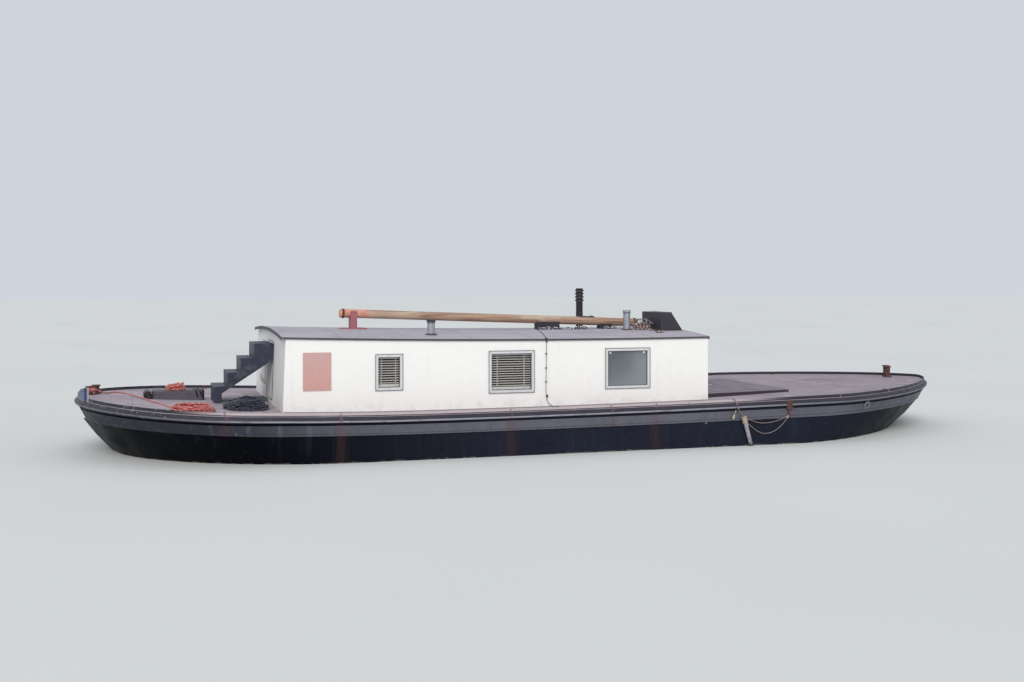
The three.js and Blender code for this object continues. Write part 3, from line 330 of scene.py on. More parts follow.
def strake_material():
    paint = Paint("strake_paint", 0.6, Specular_IOR_Level=0.35)
    paint.weather(0x5e5e69, 0x494953, 0.7, 1.4)
    # Painted shade: the strake goes darker towards the bow.
    paint.coat(paint.ramp(paint.axis("x"), 2.5, 6.2), 0x2c2d3a)
    runs = paint.ramp(streaks(paint, 7, 0.7), 0.54, 0.76, 0.0, 0.35)
    paint.coat(runs, 0x74747e)
    paint.coat(rust_runs(paint, SOCKET_XS), 0x624340, 0.4)
    # Painted shadow along the top of the strake, under the rub rail.
    paint.coat(paint.ramp(below_deck(paint), 0.118, 0.108), 0x1c1b23)
    foot = paint.near(below_deck(paint), 0.262, 0.004, 0.006)
    paint.coat(foot, 0x24242e, 0.5)
    paint.dents(2.2, 3, 0.008)
    paint.bump(seams(paint), 0.002)
    paint.dents(70.0, 4, 0.0008)
    return paint.done(paint.cloud(6.0, 5, 0.3, 0.7, 0.48, 0.72))


def rail_material():
    """Dark rail with a painted highlight along one line, painted shade along its underside and painted
    glints near the bow. Beside the house the toe rail's outer face is pale.
    """
    paint = Paint("rail_paint", 0.5, Specular_IOR_Level=0.25)
    drop = below_deck(paint)
    x = paint.axis("x")
    paint.weather(0x38363f, 0x27262f, 0.8, 2.0)
    wavy = paint.plus(drop, paint.times(paint.noise(3.0, 3), 0.01))
    # Painted highlight: a pale line along the rub rail's outer face, broken up and fainter towards its ends.
    line = paint.near(wavy, 0.083, 0.009, 0.008)
    broken = paint.cloud(5.0, 4, 0.3, 0.5, 0.6, 1.0)
    midships = paint.times(paint.ramp(x, 6.6, 5.0, 0.35, 1.0), paint.ramp(x, -5.0, -1.5, 0.45, 1.0))
    highlight_and_wear = paint.times(paint.times(line, broken), midships)
    paint.coat(highlight_and_wear, 0xa29fab)
    # Painted shade along the underside of the rub rail.
    paint.coat(paint.near(drop, 0.106, 0.006, 0.005), 0x15151c, 0.8)
    # Painted glints: light dashes on the rail near the bow.
    bow_glints = paint.ramp(paint.noise(1.0, 4, 0.6, paint.stretched(16, 16, 34)), 0.59, 0.64, 0.0, 0.7)
    paint.coat(paint.times(bow_glints, paint.ramp(x, 5.8, 6.8)), 0x85828d)
    rusty = paint.ramp(paint.noise(9.0, 6, 0.7), 0.66, 0.74)
    rusty = paint.plus(rusty, rust_runs(paint, SOCKET_XS, 0.012, 0.03), clamp=True)
    paint.coat(rusty, 0x745350, 0.6)
    outward = paint.times(paint.facing("y"), paint.math("SIGN", paint.axis("y")))
    beside = paint.times(paint.ramp(x, -3.6, -2.2), paint.ramp(x, 6.6, 5.6))
    pale = paint.times(paint.ramp(outward, -0.4, -0.2), paint.ramp(drop, -0.010, -0.016))
    pale = paint.times(pale, beside)
    chips = paint.ramp(paint.noise(14.0, 5, 0.7), 0.6, 0.68, 1.0, 0.3)
    paint.coat(paint.times(pale, chips), 0xbdb1b3)
    paint.dents(26.0, 5, 0.0015)
    return paint.done(paint.cloud(8.0, 5, 0.3, 0.7, 0.35, 0.6))


def deck_material():
    paint = Paint("deck_paint", 0.7, Specular_IOR_Level=0.3)
    paint.weather(0xa79aa3, 0x8b7f88, 0.8, 1.0)
    dusty = paint.ramp(paint.noise(3.3, 6, 0.65), 0.48, 0.7)
    paint.coat(dusty, 0xbab1b5, 0.8)
    wet = paint.ramp(paint.noise(0.9, 4, 0.6), 0.5, 0.64, 0.0, 0.35)
    paint.coat(wet, 0x7a6d76)
    # Painted shade over the deck aft of the house.
    aft = paint.ramp(paint.axis("x"), -2.2, -4.4, 0.0, 0.35)
    paint.coat(aft, 0x776b74)
    spots = paint.ramp(paint.cells(6.0), 0.03, 0.09, 0.8, 0.0)
    spots = paint.times(spots, paint.cloud(1.7, 3, 0.5, 0.6))
    paint.coat(spots, 0x6a4b43)
    paint.dents(1.6, 3, 0.006)
    paint.dents(120.0, 3, 0.0012)
    return paint.done(paint.cloud(5.0, 5, 0.3, 0.7, 0.55, 0.82))


def roof_material():
    paint = Paint("roof_coating", 0.75, Specular_IOR_Level=0.3)
    paint.weather(0xb3adb6, 0x9b95a0, 0.8, 0.9)
    along = paint.ramp(paint.noise(1.0, 5, 0.6, paint.stretched(0.6, 7, 7)), 0.45, 0.72)
    paint.coat(along, 0x8b8590, 0.5)
    stained = paint.ramp(paint.noise(2.6, 6, 0.65), 0.58, 0.72, 0.0, 0.5)
    paint.coat(stained, 0x8a7a76)
    paint.coat(paint.ramp(paint.facing("z"), -0.5, -0.7), PANELLING)
    paint.dents(2.0, 3, 0.006)
    paint.dents(90.0, 4, 0.0012)
    return paint.done(paint.cloud(5.0, 5, 0.3, 0.7, 0.6, 0.85))


def wall_material(name, base, dark):
    paint = Paint(name, 0.5, Specular_IOR_Level=0.35)
    z = paint.axis("z")
    paint.weather(base, dark, 0.35, 0.7)
    runs = paint.ramp(streaks(paint, 10, 0.45), 0.55, 0.75, 0.0, 0.35)
    paint.coat(runs, 0xe0d9d0)
    low = paint.ramp(z, 1.2, 1.42, 1.0, 0.0)
    splash = paint.times(low, paint.cloud(6.0, 6, 0.42, 0.68))
    paint.coat(splash, 0xc9bfb6, 0.35)
    spots = paint.ramp(paint.cells(3.1), 0.02, 0.045, 1.0, 0.0)
    spots = paint.times(spots, paint.cloud(2.3, 2, 0.55, 0.62))
    paint.coat(paint.times(spots, paint.ramp(z, 1.3, 1.8, 0.9, 0.2)), 0x9a6a52)
    beside = paint.ramp(paint.math("ABSOLUTE", paint.axis("y")), INSIDE_Y, INSIDE_Y - 0.002)
    x = paint.axis("x")
    inside = paint.times(paint.ramp(x, INSIDE_AFT_X, INSIDE_AFT_X + 0.003),
                         paint.ramp(x, INSIDE_FORE_X, INSIDE_FORE_X - 0.003))
    inside = paint.times(inside, beside)
    paint.coat(inside, PANELLING)
    paint.dents(0.9, 3, 0.01)
    paint.dents(90.0, 3, 0.0005)
    return paint.done(paint.cloud(3.0, 4, 0.3, 0.7, 0.42, 0.6))


def bulwark_material():
    """Glossy blue, streaked darker from its rim, with a pale post."""
    paint = Paint("bow_plate_paint", 0.3, Coat_Weight=0.15, Coat_Roughness=0.12)
    x = paint.axis("x")
    paint.weather(0x2a4378, 0x1b2d55, 0.8, 5.0)
    runs = paint.ramp(streaks(paint, 34, 2.0), 0.46, 0.56)
    paint.coat(runs, 0x121a30, 0.85)
    rim = paint.ramp(below_deck(paint), -0.175, -0.19)
    paint.coat(rim, 0x2b2c3a)
    post = paint.ramp(x, 7.724, 7.718)
    paint.coat(post, 0x9d96a8)
    paint.dents(30.0, 4, 0.0012)
    return paint.done(paint.cloud(9.0, 4, 0.3, 0.7, 0.24, 0.44))


def shutter_material():
    paint = Paint("pink_board", 0.7)
    grain = paint.noise(1.0, 6, 0.6, paint.stretched(60, 4, 3))
    paint.colour = paint.mix(paint.ramp(grain, 0.3, 0.7), 0xcf9f98, 0xc89790)
    top = paint.ramp(paint.axis("z"), 1.6, 2.1)
    paint.coat(top, 0xc9a6a1, 0.6)
    paint.bump(grain, 0.001)
    return paint.done(paint.ramp(grain, 0.3, 0.7, 0.6, 0.8))


def pole_material():
    """Greyed varnish, with a painted fore end."""
    paint = Paint("old_wood", 0.7, Specular_IOR_Level=0.35)
    grain = paint.noise(1.0, 7, 0.65, paint.stretched(1.2, 26, 26))
    cracks = paint.ramp(paint.noise(1.0, 4, 0.7, paint.stretched(0.7, 34, 34)), 0.6, 0.66)
    paint.colour = paint.mix(paint.ramp(grain, 0.3, 0.7), 0xb4957f, 0x8d6d5c)
    bare = paint.ramp(paint.noise(1.0, 4, 0.6, paint.stretched(0.9, 6, 6)), 0.5, 0.62)
    paint.coat(bare, 0xc2b09a, 0.6)
    paint.coat(cracks, 0x5a4238)
    painted_end = paint.plus(paint.axis("x"), paint.times(paint.noise(9.0, 5), 0.3))
    orange = paint.mix(paint.cloud(7.0, 5, 0.4, 0.65), 0xd09a84, 0xbd7c68)
    paint.coat(paint.ramp(painted_end, 3.30, 3.44), orange)
    paint.bump(grain, 0.003)
    paint.bump(cracks, -0.002)
    return paint.done(paint.ramp(grain, 0.3, 0.7, 0.62, 0.85))


def fender_material():
    """Grey weathered pole, and the pale rope that it hangs on above it."""
    paint = Paint("fender_bark", 0.85, Specular_IOR_Level=0.3)
    paint.weather(0xa7a2ae, 0x6d6874, 1.0, 11.0)
    knots = paint.ramp(paint.cells(14.0), 0.1, 0.3, 1.0, 0.0)
    paint.coat(knots, 0xd9d6dc, 0.6)
    wet = paint.ramp(paint.axis("z"), WATERLINE + 0.06, WATERLINE + 0.02)
    paint.coat(wet, 0x4a4744)
    hemp = paint.mix(paint.cloud(60.0, 4, 0.35, 0.65), 0xa08883, 0x675352)
    paint.coat(paint.ramp(paint.axis("z"), 0.985, 0.995), hemp)
    paint.bump(paint.cells(22.0), 0.006)
    paint.dents(90.0, 5, 0.001)
    return paint.done(paint.cloud(8.0, 4, 0.3, 0.7, 0.75, 0.95))


def platform_material():
    """Mauve-grey top, with painted shade on its sides."""
    paint = Paint("platform_paint", 0.75, Specular_IOR_Level=0.3)
    paint.weather(0x857a84, 0x655b65, 0.8, 3.0)
    planks = paint.near(paint.math("PINGPONG", paint.axis("y"), 0.11), 0.0, 0.002, 0.003)
    paint.coat(planks, 0x4c444c, 0.6)
    # Painted shade: faces that do not look up are darker.
    paint.coat(paint.ramp(paint.facing("z"), 0.6, 0.4), 0x3a343c)
    paint.bump(planks, -0.002)
    paint.dents(50.0, 4, 0.0008)
    return paint.done(paint.cloud(6.0, 4, 0.3, 0.7, 0.6, 0.85))


def steps_material():
    paint = Paint("steps_paint", 0.5, Specular_IOR_Level=0.35)
    paint.weather(0x383a4b, 0x262836, 0.8, 4.0)
    # Pale patches where the paint of the steps is worn.
    highlight_and_wear = paint.ramp(paint.noise(7.0, 6, 0.65), 0.52, 0.66)
    paint.coat(highlight_and_wear, 0x5f5d6a, 0.5)
    paint.dents(40.0, 5, 0.001)
    return paint.done(paint.cloud(9.0, 4, 0.3, 0.7, 0.42, 0.64))


def rusty_material(name, base, share):
    """Paint that has mostly gone to rust."""
    paint = Paint(name, 0.8, 0.1)
    paint.weather(base, 0x2c2422, 0.7, 6.0)
    rust = paint.mix(paint.cloud(40.0, 6, 0.35, 0.65), 0x6b4a41, 0x40302d)
    patches = paint.ramp(paint.noise(13.0, 6, 0.7), 1 - share - 0.06, 1 - share + 0.06)
    paint.dents(55.0, 5, 0.0015)
    paint.coat(patches, rust)
    return paint.done(paint.ramp(patches, 0.0, 1.0, 0.5, 0.9))


def chimney_material():
    paint = Paint("chimney_paint", 0.55, 0.2)
    paint.weather(0x2b2827, 0x1b1918, 0.8, 6.0)
    z = paint.axis("z")
    high = nodes_high("louvred_chimney")
    for drop in CHIMNEY_RING_DROPS:
        ring = paint.near(z, high - drop, 0.007, 0.004)
        paint.coat(ring, 0x6a6765, 0.7)
    paint.dents(45.0, 5, 0.001)
    return paint.done(paint.cloud(12.0, 4, 0.3, 0.7, 0.45, 0.7))


def vent_material():
    paint = Paint("galvanised_sheet", 0.45, 0.55)
    spangle = paint.cells(55.0)
    paint.colour = paint.mix(paint.ramp(spangle, 0.1, 0.7), 0xc3c5cb, 0x9c9fa7)
    stained = paint.ramp(streaks(paint, 22, 2.0), 0.5, 0.7)
    paint.coat(stained, 0x7d766f, 0.5)
    cap = paint.ramp(paint.axis("z"), nodes_high("roof_vent") - 0.045, nodes_high("roof_vent") - 0.035)
    cap = paint.times(cap, paint.ramp(paint.axis("x"), 1.0, 1.2))
    paint.coat(cap, 0x4b4045)
    paint.dents(30.0, 4, 0.001)
    return paint.done(paint.ramp(spangle, 0.0, 0.8, 0.35, 0.55))


def floor_material():
    paint = Paint("cabin_boards", 0.6)
    grain = paint.noise(1.0, 6, 0.6, paint.stretched(1.5, 30, 30))
    paint.colour = paint.mix(paint.ramp(grain, 0.3, 0.7), 0x9a7450, 0x7a5838)
    paint.bump(grain, 0.001)
    return paint.done(paint.ramp(grain, 0.3, 0.7, 0.5, 0.7))


def glass_material():
    paint = Paint("window_glass", 0.03, IOR=1.5, Alpha=0.12)
    smear = paint.noise(4.0, 4)
    paint.colour = paint.mix(paint.ramp(smear, 0.3, 0.7), 0x4c4a48, 0x3a3837)
    return paint.done(paint.ramp(smear, 0.3, 0.7, 0.02, 0.06))


def hazy_glass_material():
    """Window glass backed by a grey-blue film, with a painted reflection of the sky that makes it paler low
    down and forward to aft.
    """
    paint = Paint("filmed_glass", 0.12, Coat_Weight=1.0, Coat_Roughness=0.04)
    x, z = paint.axis("x"), paint.axis("z")
    # Painted reflection of the sky: a gradient, darker high and forward, paler low and aft.
    sky_reflection_slope = paint.plus(paint.times(x, -0.8), paint.times(z, -0.9))
    soft = paint.plus(sky_reflection_slope, paint.times(paint.noise(2.4, 3), 0.5))
    paint.colour = paint.mix(paint.ramp(soft, -1.2, -0.45), 0x474d52, 0x7b8488)
    mist = paint.cloud(1.6, 4, 0.4, 0.7)
    paint.coat(mist, 0x6a7073, 0.35)
    return paint.done(paint.cloud(3.0, 4, 0.3, 0.7, 0.08, 0.2))


def rope_material(name, light, deep, fleck):
    """Laid rope: a value written on the mesh paints shade into the grooves between its strands, a second one
    marks its pale yarns, which partly stand in for painted glints.
    """
    paint = Paint(name, 0.85, Sheen_Weight=0.3)
    strand_shade = paint.attribute("strand_shade")
    yarn_and_glint = paint.attribute("yarn_and_glint")
    fuzz = paint.noise(160.0, 3)
    # Painted shade: the deep colour fills the grooves between strands, the light one their crests.
    paint.colour = paint.mix(strand_shade, deep, light)
    # Pale yarns, partly painted glints on the strands' crests.
    paint.coat(yarn_and_glint, fleck)
    paint.coat(paint.ramp(fuzz, 0.45, 0.75, 0.0, 0.35), deep)
    paint.bump(fuzz, 0.001)
    return paint.done()


def flecked_material():
    """Dark lashing line with white flecks woven in."""
    paint = Paint("flecked_line", 0.85)
    flecks = paint.ramp(paint.cells(30.0), 0.36, 0.46, 1.0, 0.0)
    paint.colour = paint.mix(paint.cloud(50.0, 4, 0.35, 0.65), 0x3a3440, 0x5c4f55)
    paint.coat(flecks, 0xe6e2e6)
    paint.dents(150.0, 3, 0.001)
    return paint.done(paint.ramp(flecks, 0.0, 1.0, 0.8, 0.95))


materials = {
    "hull": hull_material(),
    "strake": strake_material(),
    "rail": rail_material(),
    "deck": deck_material(),
    "bulwark": bulwark_material(),
    "floor": floor_material(),
    "wall": wall_material("wall_paint", 0xf4f2ee, 0xe9e5df),
    # Painted shade: the end walls get a greyer copy of the wall paint.
    "end_wall": wall_material("end_wall_shaded_paint", 0xeeebe9, 0xdedad7),
    "roof": roof_material(),
    "frame": painted("window_frame_paint", 0xdad9da, 0xbcbabc, 0.45, 6.0),
    "shutter": shutter_material(),
    "door": painted("door_paint", 0xd3d0cc, 0xb9b5b0, 0.5, 3.0),
    "hood": painted("hood_paint", 0x35323b, 0x26232a, 0.55, 2.5),
    "pole": pole_material(),
    "crutch": painted("crutch_paint", 0xa66a70, 0x84484e, 0.65, 9.0, 0.9),
    "chock": painted("chock_timber", 0x34333d, 0x201f26, 0.8, 5.0),
    "vent": vent_material(),
    "chimney": chimney_material(),
    "steps": steps_material(),
    "locker": painted("locker_paint", 0x5b555e, 0x463f47, 0.6, 5.0, 0.8),
    "platform": platform_material(),
    "bollard": rusty_material("bollard_rust", 0x6a5048, 0.6),
    "fender": fender_material(),
    "black_rope": rope_material("black_rope", 0x1e2436, 0x06070d, 0x454c62),
    "red_rope": rope_material("red_rope", 0xc95a56, 0x64191f, 0xe8afa6),
    "brown_rope": rope_material("brown_rope", 0x8c6a64, 0x3d2b2b, 0xeee2de),
}
dark_edge = painted("dark_edge_paint", 0x47434c, 0x35313a, 0.6, 6.0)
weld = painted("weld_paint", 0x8f828b, 0x756972, 0.7, 9.0)
pale_metal = painted("worn_steel", 0xcfccd0, 0xa29ea4, 0.4, 14.0, 0.8, 0.0004, 0.4)
rust_metal = rusty_material("rusty_fitting", 0x7a5a50, 0.6)
pink_rust = painted("pinkish_rust", 0xa08078, 0x6b4a44, 0.8, 30.0, 1.0)
ring_paint = painted("ring_paint", 0x76757e, 0x5a5962, 0.6, 14.0)
rubber = painted("black_rubber", 0x1f1f25, 0x131317, 0.45, 9.0)
flecked = flecked_material()
gold_rope = painted("manila", 0xcfc0a6, 0x8f7d66, 0.85, 40.0, 1.0, 0.002)
brass = painted("dull_brass", 0xa88d55, 0x7c6539, 0.35, 18.0, 0.8, 0.0003, 0.8)
clear_glass = glass_material()
filmed_glass = hazy_glass_material()

WELD_DISTANCE = 0.00005
SHARP_ANGLE = math.radians(33)


def smooth_but_sharp_edges(obj):
    """Smooth shading across gentle bends, crisp at real edges."""
    weld = obj.modifiers.new("weld", "WELD")
    weld.merge_threshold = WELD_DISTANCE
    split = obj.modifiers.new("edges", "EDGE_SPLIT")
    split.split_angle = SHARP_ANGLE
    obj.data.polygons.foreach_set("use_smooth", [True] * len(obj.data.polygons))


def dress_nodes():
    """Every node of the model gets its slot's material."""
    slot_of = {part["node"]: part["material_slot"] for part in frame["record"]["subparts"]}
    for name, obj in nodes.items():
        slot = slot_of[name]
        material = materials.get(slot)
        if slot == "glass":
            material = filmed_glass if "_aft_" in name else clear_glass
        obj.data.materials.clear()
        obj.data.materials.append(material)
        for layer in [a for a in obj.data.attributes if a.name == "custom_normal"]:
            obj.data.attributes.remove(layer)
        smooth_but_sharp_edges(obj)


dress_nodes()


# Making pieces

def add_piece(name, mesh, slot, material=None, body="boat"):
    obj = bpy.data.objects.new(name, mesh)
    bpy.context.scene.collection.objects.link(obj)
    mesh.materials.append(material or materials[slot])
    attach(obj, body)
    return obj


UP = (0, 0, 1)
SIDES = (("port", 1), ("starboard", -1))


def spread(start, end, count):
    return [start + (end - start) * i / (count - 1) for i in range(count)]


def outer(low, high, sign):
    """y of the outer face of a box on one side of the boat."""
    return high.y if sign > 0 else low.y


class Shapes:
    """Gathers boxes, rods and swept bars into one mesh."""

    def __init__(self):
        self.bm = bmesh.new()

    def box(self, low, high, bevel=0.0, turn=None):
        """Box from its low to its high corner; turn is a matrix applied about its middle."""
        low, high = Vector(low), Vector(high)
        middle = Matrix.Translation((low + high) / 2)
        size = Matrix.Diagonal((*(high - low), 1))
        made = bmesh.ops.create_cube(self.bm, size=1, matrix=middle @ (turn or Matrix()) @ size)
        if bevel:
            edges = {edge for vert in made["verts"] for edge in vert.link_edges}
            bmesh.ops.bevel(self.bm, geom=list(edges), offset=bevel, segments=2, profile=0.5,
                            affect="EDGES", clamp_overlap=True)

    def rod(self, start, end, radius, sides, end_radius=None):
        start, end = Vector(start), Vector(end)
        along = end - start
        place = Matrix.Translation((start + end) / 2) @ along.to_track_quat("Z", "Y").to_matrix().to_4x4()
        bmesh.ops.create_cone(self.bm, cap_ends=True, segments=sides, radius1=radius,
                              radius2=radius if end_radius is None else end_radius,
                              depth=along.length, matrix=place)

    def sweep(self, points, section):
        """Sweeps a section, given as offsets (outward, up), along points, each a place and its outward."""
        rings = []
        for place, outward in points:
            place, outward = Vector(place), Vector(outward).normalized()
            rings.append([self.bm.verts.new(place + outward * a + Vector((0, 0, b))) for a, b in section])
        for ring, following in zip(rings, rings[1:]):
            self.join(ring, following)
        self.bm.faces.new(list(reversed(rings[0])))
        self.bm.faces.new(rings[-1])

    def join(self, ring, following):
        """Faces between two rings of as many points."""
        for i in range(len(ring)):
            j = (i + 1) % len(ring)
            self.bm.faces.new((ring[i], ring[j], following[j], following[i]))

    def ring(self, centre, axis, major, minor, around, sides=8):
        """Torus about an axis."""
        turn = Vector(axis).to_track_quat("Z", "Y")
        rings = []
        for i in range(around):
            a = 2 * math.pi * i / around
            ring = []
            for k in range(sides):
                b = 2 * math.pi * k / sides
                reach = major + minor * math.cos(b)
                spot = Vector((reach * math.cos(a), reach * math.sin(a), minor * math.sin(b)))
                ring.append(self.bm.verts.new(Vector(centre) + turn @ spot))
            rings.append(ring)
        for i in range(around):
            self.join(rings[i], rings[(i + 1) % around])

    def piece(self, name, slot, material=None, body="boat", smooth=False):
        bmesh.ops.recalc_face_normals(self.bm, faces=self.bm.faces)
        mesh = bpy.data.meshes.new(name)
        self.bm.to_mesh(mesh)
        self.bm.free()
        obj = add_piece(name, mesh, slot, material, body)
        if smooth:
            smooth_but_sharp_edges(obj)
        return obj


# Ropes

STRANDS = 3
ROPE_SIDES = 12
PITCH_IN_WIDTHS = 3.4
WHIPPED_END = 0.05
HEAP_POINTS = 28
HEAP_PROUD = 0.03
STEP_IN_RADII = 0.8
EASE_SPAN = 5


def smooth_route(points, spacing):
    """Points at even spacing along a Catmull-Rom curve through the given ones."""
    points = np.array(points, float)
    padded = np.vstack([2 * points[0] - points[1], points, 2 * points[-1] - points[-2]])
    fine = []
    for i in range(1, len(padded) - 2):
        p0, p1, p2, p3 = padded[i - 1:i + 3]
        steps = max(2, int(np.linalg.norm(p2 - p1) / spacing * 3))
        for t in np.arange(steps) / steps:
            fine.append(0.5 * (2 * p1 + (p2 - p0) * t + (2 * p0 - 5 * p1 + 4 * p2 - p3) * t * t
                               + (3 * p1 - p0 - 3 * p2 + p3) * t ** 3))
    fine.append(points[-1])
    return evenly(np.array(fine), spacing)


def evenly(points, spacing):
    lengths = np.r_[0, np.cumsum(np.linalg.norm(np.diff(points, axis=0), axis=1))]
    count = max(2, int(round(lengths[-1] / spacing)))
    marks = np.linspace(0, lengths[-1], count + 1)
    return np.stack([np.interp(marks, lengths, points[:, k]) for k in range(3)], 1)


def loops_in_plan(centre, radii, turns, wander, seed, start):
    """Untidy turns of rope seen from above: each one has its own centre, width and slant."""
    rng = random.Random(seed)
    knots = []
    for _ in range(int(turns) + 2):
        width = rng.uniform(*radii)
        knots.append((rng.uniform(-wander, wander), rng.uniform(-wander, wander), width,
                      width * rng.uniform(0.72, 1.0), rng.uniform(-0.7, 0.7)))
    points = []
    for step in range(int(turns * HEAP_POINTS) + 1):
        t = step / HEAP_POINTS
        k = int(t)
        f = t - k
        f = f * f * (3 - 2 * f)
        dx, dy, a, b, slant = [p + (q - p) * f for p, q in zip(knots[k], knots[k + 1])]
        angle = start + 2 * math.pi * t
        u, v = a * math.cos(angle), b * math.sin(angle)
        points.append((centre[0] + dx + u * math.cos(slant) - v * math.sin(slant),
                       centre[1] + dy + u * math.sin(slant) + v * math.cos(slant), 0.0))
    return points


class Pile:
    """Lays rope on a surface, and on the rope that is there already."""

    CELL = 0.006
    SLOPE = 0.45
    CHUNK = 14

    def __init__(self, centre, half, ground):
        self.low = np.array(centre) - half
        self.size = int(2 * half / self.CELL) + 2
        self.ground = ground
        self.top = np.full((self.size, self.size), -1.0)
        for i in range(self.size):
            height = ground(self.low[0] + i * self.CELL, centre[1])
            self.top[i, :] = height

    def cells(self, x, y, reach):
        i, j = (x - self.low[0]) / self.CELL, (y - self.low[1]) / self.CELL
        r = reach / self.CELL
        i0, i1 = max(0, int(i - r)), min(self.size, int(i + r) + 2)
        j0, j1 = max(0, int(j - r)), min(self.size, int(j + r) + 2)
        gi, gj = np.mgrid[i0:i1, j0:j1]
        distance = np.hypot(gi - i, gj - j) * self.CELL
        return (slice(i0, i1), slice(j0, j1)), distance

    def lay(self, points, radius, first):
        """Heights for points in plan. first is the height that the rope comes from."""
        heights = np.zeros(len(points))
        step = np.linalg.norm(points[1:, :2] - points[:-1, :2], axis=1).mean()
        last = first
        for start in range(0, len(points), self.CHUNK):
            rows = range(start, min(start + self.CHUNK, len(points)))
            raw = []
            for k in rows:
                window, distance = self.cells(points[k, 0], points[k, 1], radius)
                under = self.top[window][distance <= radius]
                sunk = np.sqrt(np.clip(radius ** 2 - distance[distance <= radius] ** 2, 0, None))
                raw.append(float(np.max(under + sunk)) if len(under) else last)
            raw = np.array(raw)
            if last is not None:
                raw[0] = max(raw[0], last - self.SLOPE * step)
            for k in range(1, len(raw)):
                raw[k] = max(raw[k], raw[k - 1] - self.SLOPE * step)
            for k in range(len(raw) - 2, -1, -1):
                raw[k] = max(raw[k], raw[k + 1] - self.SLOPE * step)
            heights[start:start + len(raw)] = raw
            last = raw[-1]
            for k, z in zip(rows, raw):
                window, distance = self.cells(points[k, 0], points[k, 1], radius)
                dome = np.where(distance <= radius,
                                z + np.sqrt(np.clip(radius ** 2 - distance ** 2, 0, None)), -9)
                self.top[window] = np.maximum(self.top[window], dome)
        soft = np.convolve(np.pad(heights, 3, mode="edge"), np.ones(7) / 7, mode="valid")
        return np.maximum(soft, heights - 0.15 * radius)


def rope_mesh(name, path, radius):
    """Tube with the ridges of a laid rope, its ends rounded. Painted shade for the grooves between its
    strands is written on it, and its pale yarns.
    """
    count = len(path)
    tangents = np.gradient(path, axis=0)
    tangents /= np.linalg.norm(tangents, axis=1)[:, None]
    normals = np.zeros_like(path)
    normal = np.cross(tangents[0], (0.0, 0.0, 1.0))
    if np.linalg.norm(normal) < 0.1:
        normal = np.cross(tangents[0], (1.0, 0.0, 0.0))
    for i in range(count):
        normal = normal - tangents[i] * np.dot(normal, tangents[i])
        normal /= np.linalg.norm(normal)
        normals[i] = normal
    binormals = np.cross(tangents, normals)
    lengths = np.r_[0, np.cumsum(np.linalg.norm(np.diff(path, axis=0), axis=1))]
    pitch = PITCH_IN_WIDTHS * 2 * radius
    angles = np.arange(ROPE_SIDES) / ROPE_SIDES * 2 * np.pi
    phase = angles[None, :] * STRANDS - lengths[:, None] / pitch * 2 * np.pi * STRANDS
    ridge = np.abs(np.cos(phase / 2))
    from_end = np.minimum(lengths, lengths[-1] - lengths)
    round_end = np.sqrt(np.clip(1 - (1 - np.clip(from_end / radius, 0, 1)) ** 2, 0.02, 1))
    reach = radius * (0.84 + 0.16 * ridge) * round_end[:, None]
    ring = (normals[:, None, :] * np.cos(angles)[None, :, None]
            + binormals[:, None, :] * np.sin(angles)[None, :, None])
    verts = (path[:, None, :] + ring * reach[:, :, None]).reshape(-1, 3)
    faces = []
    for row in range(0, (count - 1) * ROPE_SIDES, ROPE_SIDES):
        for k in range(ROPE_SIDES):
            m = (k + 1) % ROPE_SIDES
            faces.append((row + k, row + m, row + ROPE_SIDES + m, row + ROPE_SIDES + k))
    faces.append(tuple(range(ROPE_SIDES))[::-1])
    faces.append(tuple((count - 1) * ROPE_SIDES + k for k in range(ROPE_SIDES)))
    mesh = bpy.data.meshes.new(name)
    mesh.from_pydata(verts.tolist(), [], faces)
    strand = np.floor(phase / (2 * np.pi)) % STRANDS
    # Painted shade: darker in the grooves between the strands.
    strand_shade = np.clip(ridge * 1.15, 0, 1)
    # Pale yarns on the crests of one strand, which also stand in for painted glints; the whipped ends are
    # pale all round.
    yarn_and_glint = np.where(strand == 0, 0.85 * ridge, 0.0)
    yarn_and_glint[from_end < WHIPPED_END] = 0.9
    for label, values in (("strand_shade", strand_shade), ("yarn_and_glint", yarn_and_glint)):
        layer = mesh.attributes.new(label, "FLOAT", "POINT")
        layer.data.foreach_set("value", values.astype(np.float32).ravel())
    mesh.polygons.foreach_set("use_smooth", [True] * len(mesh.polygons))
    return mesh


RED_RADIUS = 0.012
BLACK_RADIUS = 0.013
BROWN_RADIUS = 0.009
FENDER_LINE_RADIUS = 0.005

# Routes in plan, with the height above the deck or the roof
LINE_ROUTE = [
    (7.596, -0.469, 0.076), (7.552, -0.492, 0.062), (7.495, -0.570, 0.036), (7.440, -0.700, 0.018),
    (7.385, -0.850, 0.013), (7.300, -0.950, 0.013), (7.210, -0.900, 0.013), (7.110, -0.690, 0.013),
    (7.010, -0.410, 0.013), (6.921, -0.146, 0.013), (6.845, 0.140, 0.013), (6.778, 0.400, 0.013),
    (6.700, 0.640, 0.013), (6.630, 0.840, 0.013), (6.575, 1.040, 0.013), (6.530, 1.240, 0.013),
    (6.495, 1.390, 0.013), (6.477, 1.468, 0.013),
]
ROOF_LINE_ROUTE = [
    (-1.600, 0.808, 0.010), (-1.612, 0.870, 0.010), (-1.650, 0.960, 0.010), (-1.672, 1.050, 0.010),
    (-1.655, 1.130, 0.010), (-1.625, 1.200, 0.010), (-1.612, 1.248, 0.014), (-1.610, 1.2815, 0.020),
]
